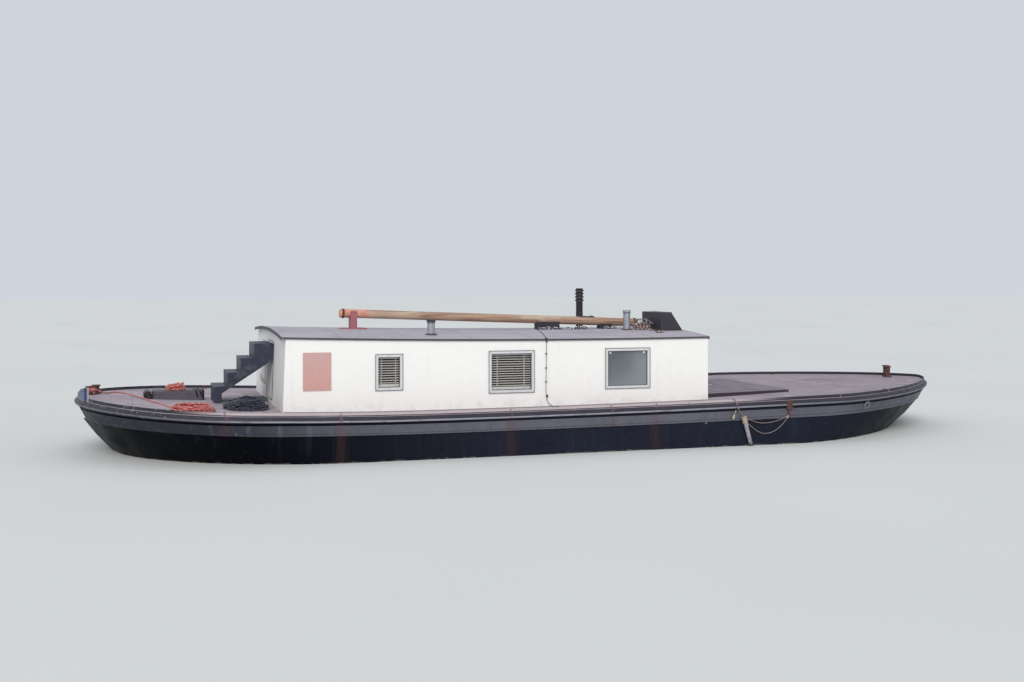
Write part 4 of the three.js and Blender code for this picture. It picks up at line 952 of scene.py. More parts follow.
# Fender's line seen from the side: x and z
FENDER_LINE_Y = 2.530
FENDER_LINE_ROUTE = [
    (-3.403, 0.958), (-3.380, 0.945), (-3.345, 0.905), (-3.280, 0.835), (-3.200, 0.768), (-3.100, 0.716),
    (-3.000, 0.695), (-2.900, 0.703), (-2.810, 0.742), (-2.730, 0.800), (-2.660, 0.857), (-2.622, 0.890),
    (-2.613, 0.913), (-2.626, 0.932), (-2.680, 0.928), (-2.760, 0.899), (-2.850, 0.876), (-2.940, 0.866),
    (-3.040, 0.871), (-3.140, 0.887), (-3.240, 0.913), (-3.330, 0.946), (-3.380, 0.966), (-3.403, 0.974),
]
# Turns on the bow bollard's port post and on the roof cleat: radius and height at each turn's start
BOW_POST = (7.7005, -0.4498)
POST_TURNS = [(0.0695, 1.3915), (0.0695, 1.4160), (0.0695, 1.4405), (0.0695, 1.4650), (0.0903, 1.4525),
              (0.0903, 1.4365)]
POST_LEAVE = math.radians(130)
CLEAT = (-1.610, 1.300)
CLEAT_HALF_LENGTH, CLEAT_HALF_WIDTH = 0.068, 0.028
CLEAT_LIFTS = (0.011, 0.020, 0.034)
POINTS_PER_TURN = 20


def turns_on_post():
    """Rope wound up the port post of the bow bollard and down again outside itself."""
    points = []
    for step in range((len(POST_TURNS) - 1) * POINTS_PER_TURN + 1):
        t = step / POINTS_PER_TURN
        k = min(int(t), len(POST_TURNS) - 2)
        f = t - k
        f = f * f * (3 - 2 * f)
        radius, z = [p + (q - p) * f for p, q in zip(POST_TURNS[k], POST_TURNS[k + 1])]
        angle = POST_LEAVE + 2 * math.pi * t
        points.append((BOW_POST[0] + radius * math.cos(angle), BOW_POST[1] + radius * math.sin(angle), z))
    return points


def turns_on_cleat():
    """Rope wound round the foot of the cleat, under its horns."""
    points = []
    for step in range((len(CLEAT_LIFTS) - 1) * POINTS_PER_TURN):
        t = step / POINTS_PER_TURN
        k = int(t)
        lift = CLEAT_LIFTS[k] + (CLEAT_LIFTS[k + 1] - CLEAT_LIFTS[k]) * (t - k)
        angle = 2 * math.pi * t - math.pi / 2
        x = CLEAT[0] + CLEAT_HALF_LENGTH * math.cos(angle)
        y = CLEAT[1] + CLEAT_HALF_WIDTH * math.sin(angle)
        points.append((x, y, roof.top(CLEAT[0], CLEAT[1]) + lift))
    return points[::-1]


def eased(path):
    """Path with its small kinks taken out, its ends kept."""
    padded = np.pad(path, ((EASE_SPAN // 2, EASE_SPAN // 2), (0, 0)), mode="edge")
    weights = np.ones(EASE_SPAN) / EASE_SPAN
    middle = np.stack([np.convolve(padded[:, k], weights, mode="valid") for k in range(3)], 1)
    middle[0], middle[-1] = path[0], path[-1]
    return middle


def length_of(path):
    return float(np.linalg.norm(np.diff(path, axis=0), axis=1).sum())


def rope(name, path, radius, node_names, slot, length):
    piece = add_piece(name, rope_mesh(name, path, radius), slot)
    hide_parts(*node_names)
    print(f"{name}: stated {length} m, measured {length_of(path):.2f} m")


def heap_path(node, radius, radii, turns, wander, seed, ground, start=0.0, before=None):
    """Route of a heap that stays in its node's space. before is a route that leads into it."""
    centre, high = centre_of(node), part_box(node)[1]
    plan = loops_in_plan(centre, radii, turns, wander, seed, start)
    fine = smooth_route(plan, radius * STEP_IN_RADII)
    half = max(high.x - centre.x, high.y - centre.y) + 0.1
    pile = Pile((centre.x, centre.y), half, ground)
    fine[:, 2] = pile.lay(fine, radius, None if before is None else before[-1][2])
    bed = np.array([ground(x, y) + radius for x, y, _ in fine])
    rise = fine[:, 2] - bed
    room = high.z + HEAP_PROUD - radius - bed.max()
    fine[:, 2] = bed + rise * min(1.0, room / rise.max())
    return fine


def red_rope():
    route = turns_on_post() + [(x, y, deck.top(x, y) + lift) for x, y, lift in LINE_ROUTE]
    lead = smooth_route(route, RED_RADIUS * STEP_IN_RADII)
    heap = heap_path("red_rope_coil", RED_RADIUS, (0.20, 0.34), 13, 0.06, 7, deck.top,
                     math.radians(-30), lead)
    path = smooth_route(np.vstack([lead[:-6:3], heap[6::5]]), RED_RADIUS * STEP_IN_RADII)
    rope("red_mooring_rope", path, RED_RADIUS, ["bow_rope_coil", "red_bow_line", "red_rope_coil"],
         "red_rope", 26.7)


def black_rope():
    path = heap_path("black_rope_coil", BLACK_RADIUS, (0.15, 0.33), 20, 0.08, 3, deck.top)
    path = evenly(path, BLACK_RADIUS * STEP_IN_RADII)
    rope("black_rope", path, BLACK_RADIUS, ["black_rope_coil"], "black_rope", 29.8)


def locker_rope():
    top = nodes_high("foredeck_locker")
    path = heap_path("locker_rope_coil", RED_RADIUS, (0.10, 0.18), 9, 0.035, 11, lambda x, y: top)
    path = evenly(path, RED_RADIUS * STEP_IN_RADII)
    rope("locker_rope", path, RED_RADIUS, ["locker_rope_coil"], "red_rope", 6.8)


def roof_rope():
    """From the turns on the roof cleat to its heap by the hood."""
    line = [(x, y, roof.top(x, y) + lift) for x, y, lift in reversed(ROOF_LINE_ROUTE[:-1])]
    lead = turns_on_cleat() + line
    lead = smooth_route(lead, BROWN_RADIUS * STEP_IN_RADII)
    heap = heap_path("roof_rope_coil", BROWN_RADIUS, (0.07, 0.15), 16, 0.03, 5, roof.top, math.pi / 2, lead)
    path = eased(smooth_route(np.vstack([lead[:-4:2], heap[4::4]]), BROWN_RADIUS * STEP_IN_RADII))
    rope("roof_rope", path, BROWN_RADIUS, ["roof_rope_coil", "roof_line"], "brown_rope", 12.3)


def fender_line():
    route = [(x, FENDER_LINE_Y, z) for x, z in FENDER_LINE_ROUTE]
    path = smooth_route(route, FENDER_LINE_RADIUS * STEP_IN_RADII)
    rope("fender_bights", path, FENDER_LINE_RADIUS, ["fender_line"], "brown_rope", 1.79)


red_rope()
black_rope()
locker_rope()
roof_rope()
fender_line()


# Windows

BLIND_PITCH = 0.038
SLAT_STACK = 0.05
SLAT_WIDTH = 0.030
SLAT_TILT = math.radians(24)
white_slat = painted("blind_slats", 0xf3efe9, 0xe4dfd8, 0.45, 20.0)
cord_white = painted("blind_cords", 0xd8d2cc, 0xbdb6ae, 0.8, 20.0)
dark_gasket = painted("window_gasket", 0x4a4a4e, 0x303034, 0.7, 20.0)
window_bead = painted("window_bead_metal", 0x8e8d92, 0x6c6b72, 0.45, 16.0)


def blind(name, side, sign):
    """Venetian blind behind a window's glass."""
    low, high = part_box(f"window_pane_{name}_{side}")
    y = sign * (abs(low.y + high.y) / 2 - 0.028)
    inset = 0.006
    x0, x1 = low.x + inset, high.x - inset
    slats = Shapes()
    slats.box((x0, y - 0.014, high.z - 0.030), (x1, y + 0.014, high.z - 0.004), 0.002)
    slats.box((x0, y - 0.012, low.z + 0.008), (x1, y + 0.012, low.z + SLAT_STACK), 0.002)
    z = low.z + SLAT_STACK + 0.02
    turn = Matrix.Rotation(-sign * SLAT_TILT, 4, "X")
    while z < high.z - 0.04:
        slats.box((x0, y - SLAT_WIDTH / 2, z - 0.0007), (x1, y + SLAT_WIDTH / 2, z + 0.0007), 0, turn)
        z += BLIND_PITCH
    slats.piece(f"blind_{name}_{side}", "frame", white_slat)
    tapes = Shapes()
    for share in (0.16, 0.84):
        x = x0 + (x1 - x0) * share
        for out in (-SLAT_WIDTH / 2 - 0.001, SLAT_WIDTH / 2 + 0.001):
            tapes.box((x - 0.005, y + out - 0.0006, low.z + 0.02),
                      (x + 0.005, y + out + 0.0006, high.z - 0.02))
    tapes.piece(f"blind_tapes_{name}_{side}", "frame", cord_white)


def bars_round(a0, a1, z0, z1, width):
    """Edges of the low, high and two side bars that make a frame."""
    return ((a0, a1, z0, z0 + width), (a0, a1, z1 - width, z1),
            (a0, a0 + width, z0 + width, z1 - width), (a1 - width, a1, z0 + width, z1 - width))


def frame_bars(shapes, x0, x1, z0, z1, width, y0, y1, bevel):
    """Four bars round an upright opening that faces sideways."""
    near, far = sorted((y0, y1))
    for xa, xb, za, zb in bars_round(x0, x1, z0, z1, width):
        shapes.box((xa, near, za), (xb, far, zb), bevel)


def side_screw(shapes, x, face, z, sign, radius):
    """Round head of a screw on a face that looks sideways."""
    shapes.rod((x, face - sign * 0.001, z), (x, face + sign * 0.0025, z), radius, 10)


def window_trim(name, side, sign):
    """Raised outer bead, a dark gasket round the glass, screws and, aft, two rubber suckers."""
    low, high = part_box(f"window_frame_{name}_{side}")
    pane_low, pane_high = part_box(f"window_pane_{name}_{side}")
    face, glass_face = outer(low, high, sign), outer(pane_low, pane_high, sign)
    bead, gasket, screws = Shapes(), Shapes(), Shapes()
    lap = 0.010
    frame_bars(bead, low.x - lap, high.x + lap, low.z - lap, high.z + lap, lap + 0.003,
               face - sign * 0.004, face + sign * 0.003, 0.0015)
    gap = 0.0005
    frame_bars(gasket, pane_low.x - gap, pane_high.x + gap, pane_low.z - gap, pane_high.z + gap, 0.009,
               glass_face, glass_face + sign * 0.004, 0.001)
    inset = 0.019
    for x in (low.x + inset, (low.x + high.x) / 2, high.x - inset):
        for z in (low.z + inset, high.z - inset):
            side_screw(screws, x, face, z, sign, 0.005)
    if name == "aft":
        for end, x in (("after", pane_low.x + 0.055), ("fore", pane_high.x - 0.055)):
            spot = Vector((x, glass_face, pane_high.z - 0.03))
            hooks = Shapes()
            hooks.rod(spot, spot + Vector((0, sign * 0.010, 0)), 0.019, 20, 0.010)
            hooks.ring(spot + Vector((0, sign * 0.012, -0.004)), (0, 1, 0), 0.010, 0.0025, 18)
            hooks.piece(f"window_sucker_{end}_{side}", "frame", white_slat, smooth=True)
    bead.piece(f"window_bead_{name}_{side}", "frame", window_bead)
    gasket.piece(f"window_gasket_{name}_{side}", "frame", dark_gasket)
    screws.piece(f"window_screws_{name}_{side}", "frame", dark_gasket, smooth=True)


for window_side in SIDES:
    for window_name in ("fore", "middle", "aft"):
        window_trim(window_name, *window_side)
        if window_name != "aft":
            blind(window_name, *window_side)


# Trim of the roof and the walls

def roof_trim():
    """Dark angle along the roof's ends and a thin one along its eaves."""
    low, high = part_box("roof")
    trim = Shapes()
    for x, sign in ((high.x, 1), (low.x, -1)):
        ys = spread(low.y + 0.008, high.y - 0.008, 31)
        line = [((x, y, roof.top(x - sign * 0.006, y)), (sign, 0, 0)) for y in ys]
        trim.sweep(line, [(0.0006, 0.004), (0.007, 0.002), (0.007, -0.046), (0.0006, -0.046)])
    for y, sign in ((high.y, 1), (low.y, -1)):
        xs = spread(low.x + 0.004, high.x - 0.004, 41)
        line = [((x, y, roof.top(x, y - sign * 0.008)), (0, sign, 0)) for x in xs]
        trim.sweep(line, [(0.0006, 0.003), (0.006, 0.001), (0.006, -0.026), (0.0006, -0.026)])
    trim.piece("roof_edge_trim", "roof", dark_edge)


def roof_seams():
    """Welds across the roof's plates."""
    low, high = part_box("roof")
    beads = Shapes()
    for x in spread(low.x + 1.0, high.x - 0.9, 6):
        line = [((x, y, roof.top(x, y)), (1, 0, 0)) for y in spread(low.y + 0.02, high.y - 0.02, 33)]
        beads.sweep(line, [(-0.006, -0.001), (-0.003, 0.002), (0.003, 0.002), (0.006, -0.001)])
    beads.piece("roof_weld_beads", "roof", weld)


WALL_SEAM_XS = (-1.55, 0.28, 2.35, 3.78)
WALL_SEAM_TOP = 2.26


def wall_details():
    """Upright weld beads on the side walls and the screws of the blank panels."""
    for side, sign in SIDES:
        wall = Surface(f"wall_{side}")
        beads = Shapes()
        for x in WALL_SEAM_XS:
            face = wall.side(x, 1.7, sign)[0].y
            near, far = sorted((face - sign * 0.001, face + sign * 0.0012))
            low = deck.top(x, sign * 2.1) + 0.01
            beads.box((x - 0.0035, near, low), (x + 0.0035, far, WALL_SEAM_TOP), 0.0008)
        beads.piece(f"wall_weld_beads_{side}", "wall")
        screws = Shapes()
        low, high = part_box(f"shutter_{side}")
        for x in spread(low.x + 0.022, high.x - 0.022, 3):
            for z in spread(low.z + 0.022, high.z - 0.022, 4):
                side_screw(screws, x, outer(low, high, sign), z, sign, 0.0055)
        screws.piece(f"shutter_screws_{side}", "shutter", smooth=True)


COVER_YS, COVER_ZS, COVER_CORNER = (-0.28, 0.55), (1.29, 2.23), 0.06


def fore_wall_panel():
    """Flush cover plate on the fore wall beside the steps, with round corners and a bead round it."""
    wall = Surface("wall_fore")
    (y0, y1), (z0, z1), corner = COVER_YS, COVER_ZS, COVER_CORNER

    def wall_x(y, z):
        return wall.hit((6, y, z), (-1, 0, 0))[0].x

    outline = []
    for cy, cz, start in ((y1 - corner, z1 - corner, 0), (y0 + corner, z1 - corner, 90),
                          (y0 + corner, z0 + corner, 180), (y1 - corner, z0 + corner, 270)):
        for step in range(7):
            a = math.radians(start + step * 15)
            outline.append((cy + corner * math.cos(a), cz + corner * math.sin(a)))
    panel, bead, screws = Shapes(), Shapes(), Shapes()
    front = [panel.bm.verts.new((wall_x(y, z) + 0.005, y, z)) for y, z in outline]
    back = [panel.bm.verts.new((wall_x(y, z) - 0.001, y, z)) for y, z in outline]
    panel.bm.faces.new(front)
    panel.bm.faces.new(list(reversed(back)))
    panel.join(back, front)
    spots = [Vector((wall_x(y, z) + 0.004, y, z)) for y, z in outline]
    for a, b in zip(spots, spots[1:] + spots[:1]):
        bead.rod(a, b, 0.006, 8)
    for y in (y0 + 0.03, (y0 + y1) / 2, y1 - 0.03):
        for z in (z0 + 0.08, (z0 + z1) / 2, z1 - 0.08):
            x = wall_x(y, z)
            screws.rod((x + 0.004, y, z), (x + 0.008, y, z), 0.007, 6)
    panel.piece("fore_wall_cover", "end_wall")
    bead.piece("fore_wall_cover_bead", "end_wall", dark_edge, smooth=True)
    screws.piece("fore_wall_cover_bolts", "end_wall", pale_metal)


def wall_foot_beads():
    """Fillet where the house meets the deck."""
    low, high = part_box("wall_port")
    fillet = Shapes()
    for sign in (1, -1):
        xs = spread(low.x, high.x - 0.01, 36)
        line = [((x, sign * high.y, deck.top(x, sign * 2.08)), (0, sign, 0)) for x in xs]
        fillet.sweep(line, [(-0.001, -0.002), (0.016, -0.002), (0.005, 0.006), (-0.001, 0.018)])
    fillet.piece("house_foot_fillet", "deck", weld)


# Doors, hood and hatch

def turned_box(shapes, node, sign, y0, y1, z0, z1, out, thickness, bevel=0.002):
    """Plate on an end door's outer face, which follows the slant of the face."""
    face = Surface(node)
    low = face.hit((sign * 9, (y0 + y1) / 2, z0), (-sign, 0, 0))[0]
    high = face.hit((sign * 9, (y0 + y1) / 2, z1), (-sign, 0, 0))[0]
    along = (high - low).normalized()
    lean = math.atan2(along.x, along.z)
    middle = (low + high) / 2 + Vector((sign * out, 0, 0))
    half = Vector((thickness / 2, (y1 - y0) / 2, (z1 - z0) / 2))
    shapes.box(middle - half, middle + half, bevel, Matrix.Rotation(lean, 4, "Y"))
    return middle


def door_furniture(node, sign, hinge_port):
    """Raised panels, lever handle, lock and kick plate of an end door."""
    low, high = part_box(node)
    y0, y1 = low.y + 0.012, high.y - 0.012
    frames, metal = Shapes(), Shapes()
    for z0, z1 in ((low.z + 0.09, low.z + 0.34), (low.z + 0.40, high.z - 0.08)):
        for edges in bars_round(y0 + 0.09, y1 - 0.09, z0, z1, 0.018):
            turned_box(frames, node, sign, *edges, 0.003, 0.008)
    frames.piece(f"{node}_panel_beads", "door", body=node)
    turned_box(metal, node, sign, y0 + 0.02, y1 - 0.02, low.z + 0.012, low.z + 0.07, 0.001, 0.003, 0.001)
    lock_y = y0 + 0.045 if hinge_port else y1 - 0.045
    middle = turned_box(metal, node, sign, lock_y - 0.02, lock_y + 0.02, low.z + 0.31, low.z + 0.47,
                        0.002, 0.006)
    grip = middle + Vector((sign * 0.002, 0, 0.02))
    away = Vector((sign * 0.045, 0, 0))
    reach = Vector((0, 0.11 if hinge_port else -0.11, 0))
    metal.rod(grip, grip + away, 0.009, 14)
    metal.rod(grip + away * 0.9 - reach * 0.06, grip + away * 0.9 + reach, 0.008, 14, 0.006)
    metal.rod(grip - Vector((0, 0, 0.055)), grip - Vector((-sign * 0.005, 0, 0.055)), 0.007, 14)
    metal.piece(f"{node}_handle", "door", brass, body=node, smooth=True)


def add_grip(shapes, feet, ends, out):
    """Bar on two posts with round feet."""
    for foot in feet:
        shapes.rod(foot - out * 0.001, foot + out * 0.028, 0.006, 12)
        shapes.rod(foot, foot + out * 0.004, 0.014, 16)
    shapes.rod(ends[0] + out * 0.028, ends[1] + out * 0.028, 0.0065, 14)


def lid_furniture():
    """Grips of the aft hatch's lid and the hood's, and the raised treads on the hatch's."""
    low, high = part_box("aft_hatch_lid")
    grip, treads = Shapes(), Shapes()
    y, middle_x = high.y - 0.10, (low.x + high.x) / 2
    level = Surface("aft_hatch_lid").top(middle_x, y)
    feet, ends = [[Vector((middle_x + sign * half, y, level)) for sign in (-1, 1)] for half in (0.07, 0.075)]
    add_grip(grip, feet, ends, Vector(UP))
    grip.piece("hatch_lid_grip", "bollard", pale_metal, body="hatch_lid", smooth=True)
    for x in spread(low.x + 0.06, high.x - 0.06, 13):
        for y in spread(low.y + 0.09, high.y - 0.19, 10):
            tilt = 45 if (round(x * 100) + round(y * 100)) % 2 else -45
            treads.box((x - 0.017, y - 0.0035, level - 0.0005), (x + 0.017, y + 0.0035, level + 0.0016), 0,
                       Matrix.Rotation(math.radians(tilt), 4, "Z"))
    treads.piece("hatch_lid_treads", "platform", body="hatch_lid")
    low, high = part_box("hood_lid")
    face, grip = Surface("hood_lid"), Shapes()
    hits = [face.hit((-4, y, (low.z + high.z) / 2), (1, 0, 0)) for y in (0.47, 0.70, 0.465, 0.705)]
    places = [place for place, _ in hits]
    add_grip(grip, places[:2], places[2:], hits[0][1].normalized())
    grip.piece("hood_lid_grip", "hood", pale_metal, body="hood_lid", smooth=True)


# Deck

END_SEAM_XS = (5.15, 6.25, 7.05, -4.35, -5.5, -6.5)
SIDE_SEAM_XS = (-1.6, -0.1, 1.4, 2.9, 4.4)
PLATFORM_SEAM_XS = (-2.6, -3.6)
DRAINS = ((-5.69, 1.235), (-5.68, 1.05), (3.1, 0.93), (-1.9, 0.9), (5.6, 0.98))
HAWSE = (-5.03, 1.08)
ANODE_XS, ANODE_Z = (-5.2, -2.6, 0.0, 2.6, 5.2), 0.36


def half_beam(x, sign):
    """Half of the deck's width at x, inside the toe rail."""
    spot = strake.side(x, deck.top(x, 0.0 if abs(x) > 5 else sign * 2.2) - 0.2, sign)[0]
    return abs(spot.y) - 0.06


def deck_seams():
    """Welds between the deck's plates, fore and aft of the house and on the side decks."""
    beads = Shapes()
    section = [(-0.007, -0.001), (-0.003, 0.0018), (0.003, 0.0018), (0.007, -0.001)]

    def across(x, y0, y1):
        count = max(3, int(abs(y1 - y0) / 0.15))
        beads.sweep([((x, y, deck.top(x, y)), (1, 0, 0)) for y in spread(y0, y1, count)], section)

    for x in END_SEAM_XS:
        reach = half_beam(x, 1)
        across(x, -reach, reach)
    for x in SIDE_SEAM_XS:
        for sign in (1, -1):
            across(x, sign * 2.03, sign * 2.43)
    for x in PLATFORM_SEAM_XS:
        for sign in (1, -1):
            across(x, sign * 1.72, sign * (half_beam(x, sign) - 0.01))
    beads.piece("deck_weld_beads", "deck", weld)


def sockets():
    """Rusty stanchion sockets inside the toe rail, with the bolts that hold them."""
    tubes, bolts, clips = Shapes(), Shapes(), Shapes()
    rim = Surface("toe_rail")
    for x in SOCKET_XS + AFT_SOCKET_XS:
        for sign in (1, -1):
            edge = half_beam(x, sign) + 0.02
            y = sign * (edge - 0.03)
            z = deck.top(x, y)
            tubes.rod((x, y, z - 0.002), (x, y, z + 0.007), 0.034, 20)
            tubes.rod((x, y, z), (x, y, z + 0.040), 0.019, 18)
            tubes.ring((x, y, z + 0.038), UP, 0.019, 0.004, 20)
            face, normal = rim.side(x, z + 0.012, sign)
            lug = face + normal * 0.004
            clips.box(lug - Vector((0.009, 0.006, 0.035)), lug + Vector((0.009, 0.006, 0.030)), 0.002)
            clips.rod(lug, lug + normal * 0.012, 0.006, 6)
            for dx, dy in ((0.024, 0), (-0.024, 0), (0, 0.024), (0, -0.024)):
                bolts.rod((x + dx, y + dy, z + 0.006), (x + dx, y + dy, z + 0.011), 0.006, 6)
    tubes.piece("stanchion_sockets", "bollard", rust_metal, smooth=True)
    bolts.piece("stanchion_socket_bolts", "bollard", rust_metal)
    clips.piece("rail_clips", "bollard", pink_rust)


hull_sides = Surface("sheer_strake", "hull_stern", "hull_bow", "hull_side_port", "hull_side_starboard")


def hull_fittings():
    """Hawse rings at the stern, small drains and, under the water, anodes."""
    rings, holes, drains, anodes = Shapes(), Shapes(), Shapes(), Shapes()
    for sign in (1, -1):
        spot, normal = hull_sides.side(*HAWSE, sign)
        rings.ring(spot + normal * 0.004, normal, 0.055, 0.016, 32, 10)
        rings.ring(spot + normal * 0.002, normal, 0.078, 0.006, 32)
        holes.rod(spot - normal * 0.002, spot + normal * 0.003, 0.046, 28)
        for x, z in DRAINS:
            spot, normal = hull_sides.side(x, z, sign)
            drains.ring(spot + normal * 0.003, normal, 0.016, 0.005, 20)
            holes.rod(spot - normal * 0.002, spot + normal * 0.002, 0.013, 16)
        for x in ANODE_XS:
            spot, normal = hull_sides.side(x, ANODE_Z, sign)
            turn = normal.to_track_quat("Y", "Z").to_matrix().to_4x4()
            half, half_tab = Vector((0.15, 0.018, 0.04)), Vector((0.045, 0.004, 0.018))
            middle = spot + normal * 0.017
            anodes.box(middle - half, middle + half, 0.008, turn)
            for dx in (-0.19, 0.19):
                tab = middle + turn.to_3x3() @ Vector((dx, -0.013, 0))
                anodes.box(tab - half_tab, tab + half_tab, 0.001, turn)
    rings.piece("hawse_rings", "strake", ring_paint, smooth=True)
    holes.piece("hawse_and_drain_holes", "hull", rubber)
    drains.piece("drain_rings", "strake", ring_paint, smooth=True)
    anodes.piece("hull_anodes", "hull", pale_metal)


# Gear on the foredeck

pale_steps = painted("worn_step_paint", 0x5d5c6a, 0x454552, 0.5, 9.0, 0.9)
STEP_COUNT, STEP_GOING = 4, 0.21
# Black bands of the locker: place from its aft end, lean and half width
LOCKER_BANDS = ((0.035, 0.02, 0.011), (0.12, 0.09, 0.010), (0.17, 0.06, 0.012))
ROLL_RADIUS = 0.062


def steps_details():
    """Worn nosing and ribs on each tread."""
    low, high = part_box("boarding_steps")
    steps = Surface("boarding_steps")
    nosings, ribs = Shapes(), Shapes()
    for i in range(STEP_COUNT):
        fore = high.x - STEP_GOING * i
        level = steps.top(fore - 0.05, 0.0)
        nosings.box((fore - 0.016, low.y + 0.004, level - 0.004),
                    (fore + 0.0015, high.y - 0.004, level + 0.003), 0.0015)
        for x in spread(fore - 0.18, fore - 0.035, 9):
            ribs.box((x - 0.003, low.y + 0.04, level - 0.001),
                     (x + 0.003, high.y - 0.04, level + 0.0025), 0.0008)
    nosings.piece("step_nosings", "steps", pale_steps)
    ribs.piece("step_ribs", "steps", pale_steps)


def locker_details():
    """Lid joint with two catches, black bands at its aft end and the roll across its fore end."""
    low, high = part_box("foredeck_locker")
    locker = Surface("foredeck_locker")
    bands, lid, roll = Shapes(), Shapes(), Shapes()
    for from_end, lean, width in LOCKER_BANDS:
        points = []
        for a in spread(-90, 90, 25):
            out = Vector((0, math.sin(math.radians(a)), math.cos(math.radians(a))))
            centre = Vector((low.x + from_end - lean * (a / 90) ** 2, (low.y + high.y) / 2, low.z + 0.055))
            points.append(locker.hit(centre + out * 2, -out)[0] + out * 0.006)
        for a, b in zip(points, points[1:]):
            bands.rod(a, b, width, 8)
    bands.piece("locker_bands", "locker", rubber, smooth=True)
    for sign in (1, -1):
        y = locker.side(6.4, high.z - 0.05, sign)[0].y
        lid.box((low.x + 0.2, y - 0.002, high.z - 0.054), (high.x - 0.03, y + 0.002, high.z - 0.049), 0.0005)
        for x in (low.x + 0.32, high.x - 0.18) if sign < 0 else ():
            lid.box((x - 0.02, y - 0.004, high.z - 0.075), (x + 0.02, y + 0.004, high.z - 0.035), 0.0015)
    lid.piece("locker_lid_joint", "locker", dark_edge)
    x = high.x + 0.068
    roll_z = deck.top(x, (low.y + high.y) / 2) + ROLL_RADIUS
    ends = spread(low.y + 0.03, high.y - 0.01, 8)
    for y0, y1 in zip(ends, ends[1:]):
        roll.rod((x, y0 + 0.002, roll_z), (x, y1 - 0.002, roll_z), ROLL_RADIUS, 28)
    for share in (0.92, 0.66, 0.4):
        for y in (high.y - 0.012, low.y + 0.032):
            roll.ring((x, y, roll_z), (0, 1, 0), ROLL_RADIUS * share, 0.006, 28)
    roll.piece("foredeck_roll", "locker", rubber, smooth=True)


# Gear on the roof

POLE_RADIUS = 0.072
POLE_BAND_XS = (3.66, -1.62)
PIPE_RADIUS = 0.062
CHIMNEY_CLAMP_ZS = (2.62, 2.50)
BRIGHT_RING_RADIUS = 0.071
BRIGHT_RING_DROPS = (0.052, 0.112, 0.172)
CLIP_X, CLIP_ZS = 0.690, (2.05, 1.82, 1.6)
NET_STRANDS = 46
# Loose line beside the pole: start, end and number of strands of each run
FLECKED_RUNS = ((-1.22, -0.98, 4), (-0.66, -0.30, 5), (-0.20, 0.22, 4))
FLECKED_Y = 0.235


def pole_point(x):
    """Middle of the roof pole at x."""
    low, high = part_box("roof_pole")
    share = (x - low.x) / (high.x - low.x)
    start, end = low.z + POLE_RADIUS, high.z - POLE_RADIUS
    return Vector((x, (low.y + high.y) / 2, start + (end - start) * share))


def pole_details():
    """Iron bands, the flecked line on the roof beside the pole and the bracket by the chimney."""
    bands, lashings, bracket = Shapes(), Shapes(), Shapes()
    along = (pole_point(2.0) - pole_point(0.0)).normalized()
    for x in POLE_BAND_XS:
        for dx in (-0.012, 0.0, 0.012):
            bands.ring(pole_point(x + dx), along, POLE_RADIUS + 0.002, 0.007, 28, 6)
    bands.piece("pole_bands", "pole", rust_metal, smooth=True)
    rng = random.Random(17)
    for start, end, strands in FLECKED_RUNS:
        for strand in range(strands):
            shift, swell = rng.uniform(0, 6), rng.uniform(0.015, 0.045)
            line = []
            for x in spread(start, end, 15):
                y = FLECKED_Y + 0.02 * strand + 0.02 * math.sin(x * 23 + shift)
                height = 0.008 + swell * (1 + math.sin(x * 17 + 2 * shift)) / 2
                line.append(Vector((x, y, roof.top(x, y) + height)))
            for p, q in zip(line, line[1:]):
                lashings.rod(p, q, 0.008, 8)
    lashings.piece("pole_lashings", "brown_rope", flecked, smooth=True)
    top = pole_point(-0.70) + Vector((0, 0, POLE_RADIUS))
    bracket.box(top + Vector((-0.14, -0.035, -0.006)), top + Vector((0.14, 0.035, 0.014)), 0.003)
    for dx in (-0.10, 0.10):
        bracket.rod(top + Vector((dx, 0, 0)), top + Vector((dx, 0, 0.026)), 0.010, 6)
    bracket.rod(top + Vector((-0.05, -0.02, 0)), Vector((-0.81, -0.44, top.z)), 0.009, 12)
    bracket.piece("pole_bracket", "chimney", dark_edge, smooth=True)


def pipe_details():
    """Bolted flanges and rings of the vent, the flue and the chimney."""
    clamps, bright = Shapes(), Shapes()
    for node in ("roof_vent", "flue_pipe", "louvred_chimney"):
        x, y, _ = centre_of(node)
        foot = roof.top(x + 0.12, y)
        clamps.rod((x, y, foot - 0.004), (x, y, foot + 0.008), PIPE_RADIUS + 0.036, 32)
        clamps.ring((x, y, foot + 0.010), UP, PIPE_RADIUS + 0.006, 0.008, 32)
        for i in range(6):
            a = math.radians(60 * i + 15)
            reach = PIPE_RADIUS + 0.024
            bolt = Vector((x + reach * math.cos(a), y + reach * math.sin(a), foot + 0.006))
            clamps.rod(bolt, bolt + Vector((0, 0, 0.008)), 0.006, 6)
        if node == "louvred_chimney":
            for z in CHIMNEY_CLAMP_ZS:
                clamps.ring((x, y, z), UP, PIPE_RADIUS + 0.003, 0.006, 32)
            for drop in BRIGHT_RING_DROPS:
                bright.ring((x, y, nodes_high(node) - drop), UP, BRIGHT_RING_RADIUS, 0.005, 32)
        else:
            clamps.ring((x, y, nodes_high(node) - 0.052), UP, PIPE_RADIUS + 0.002, 0.005, 32)
    clamps.piece("pipe_flanges", "chimney", dark_edge, smooth=True)
    bright.piece("chimney_bright_rings", "chimney", ring_paint, smooth=True)


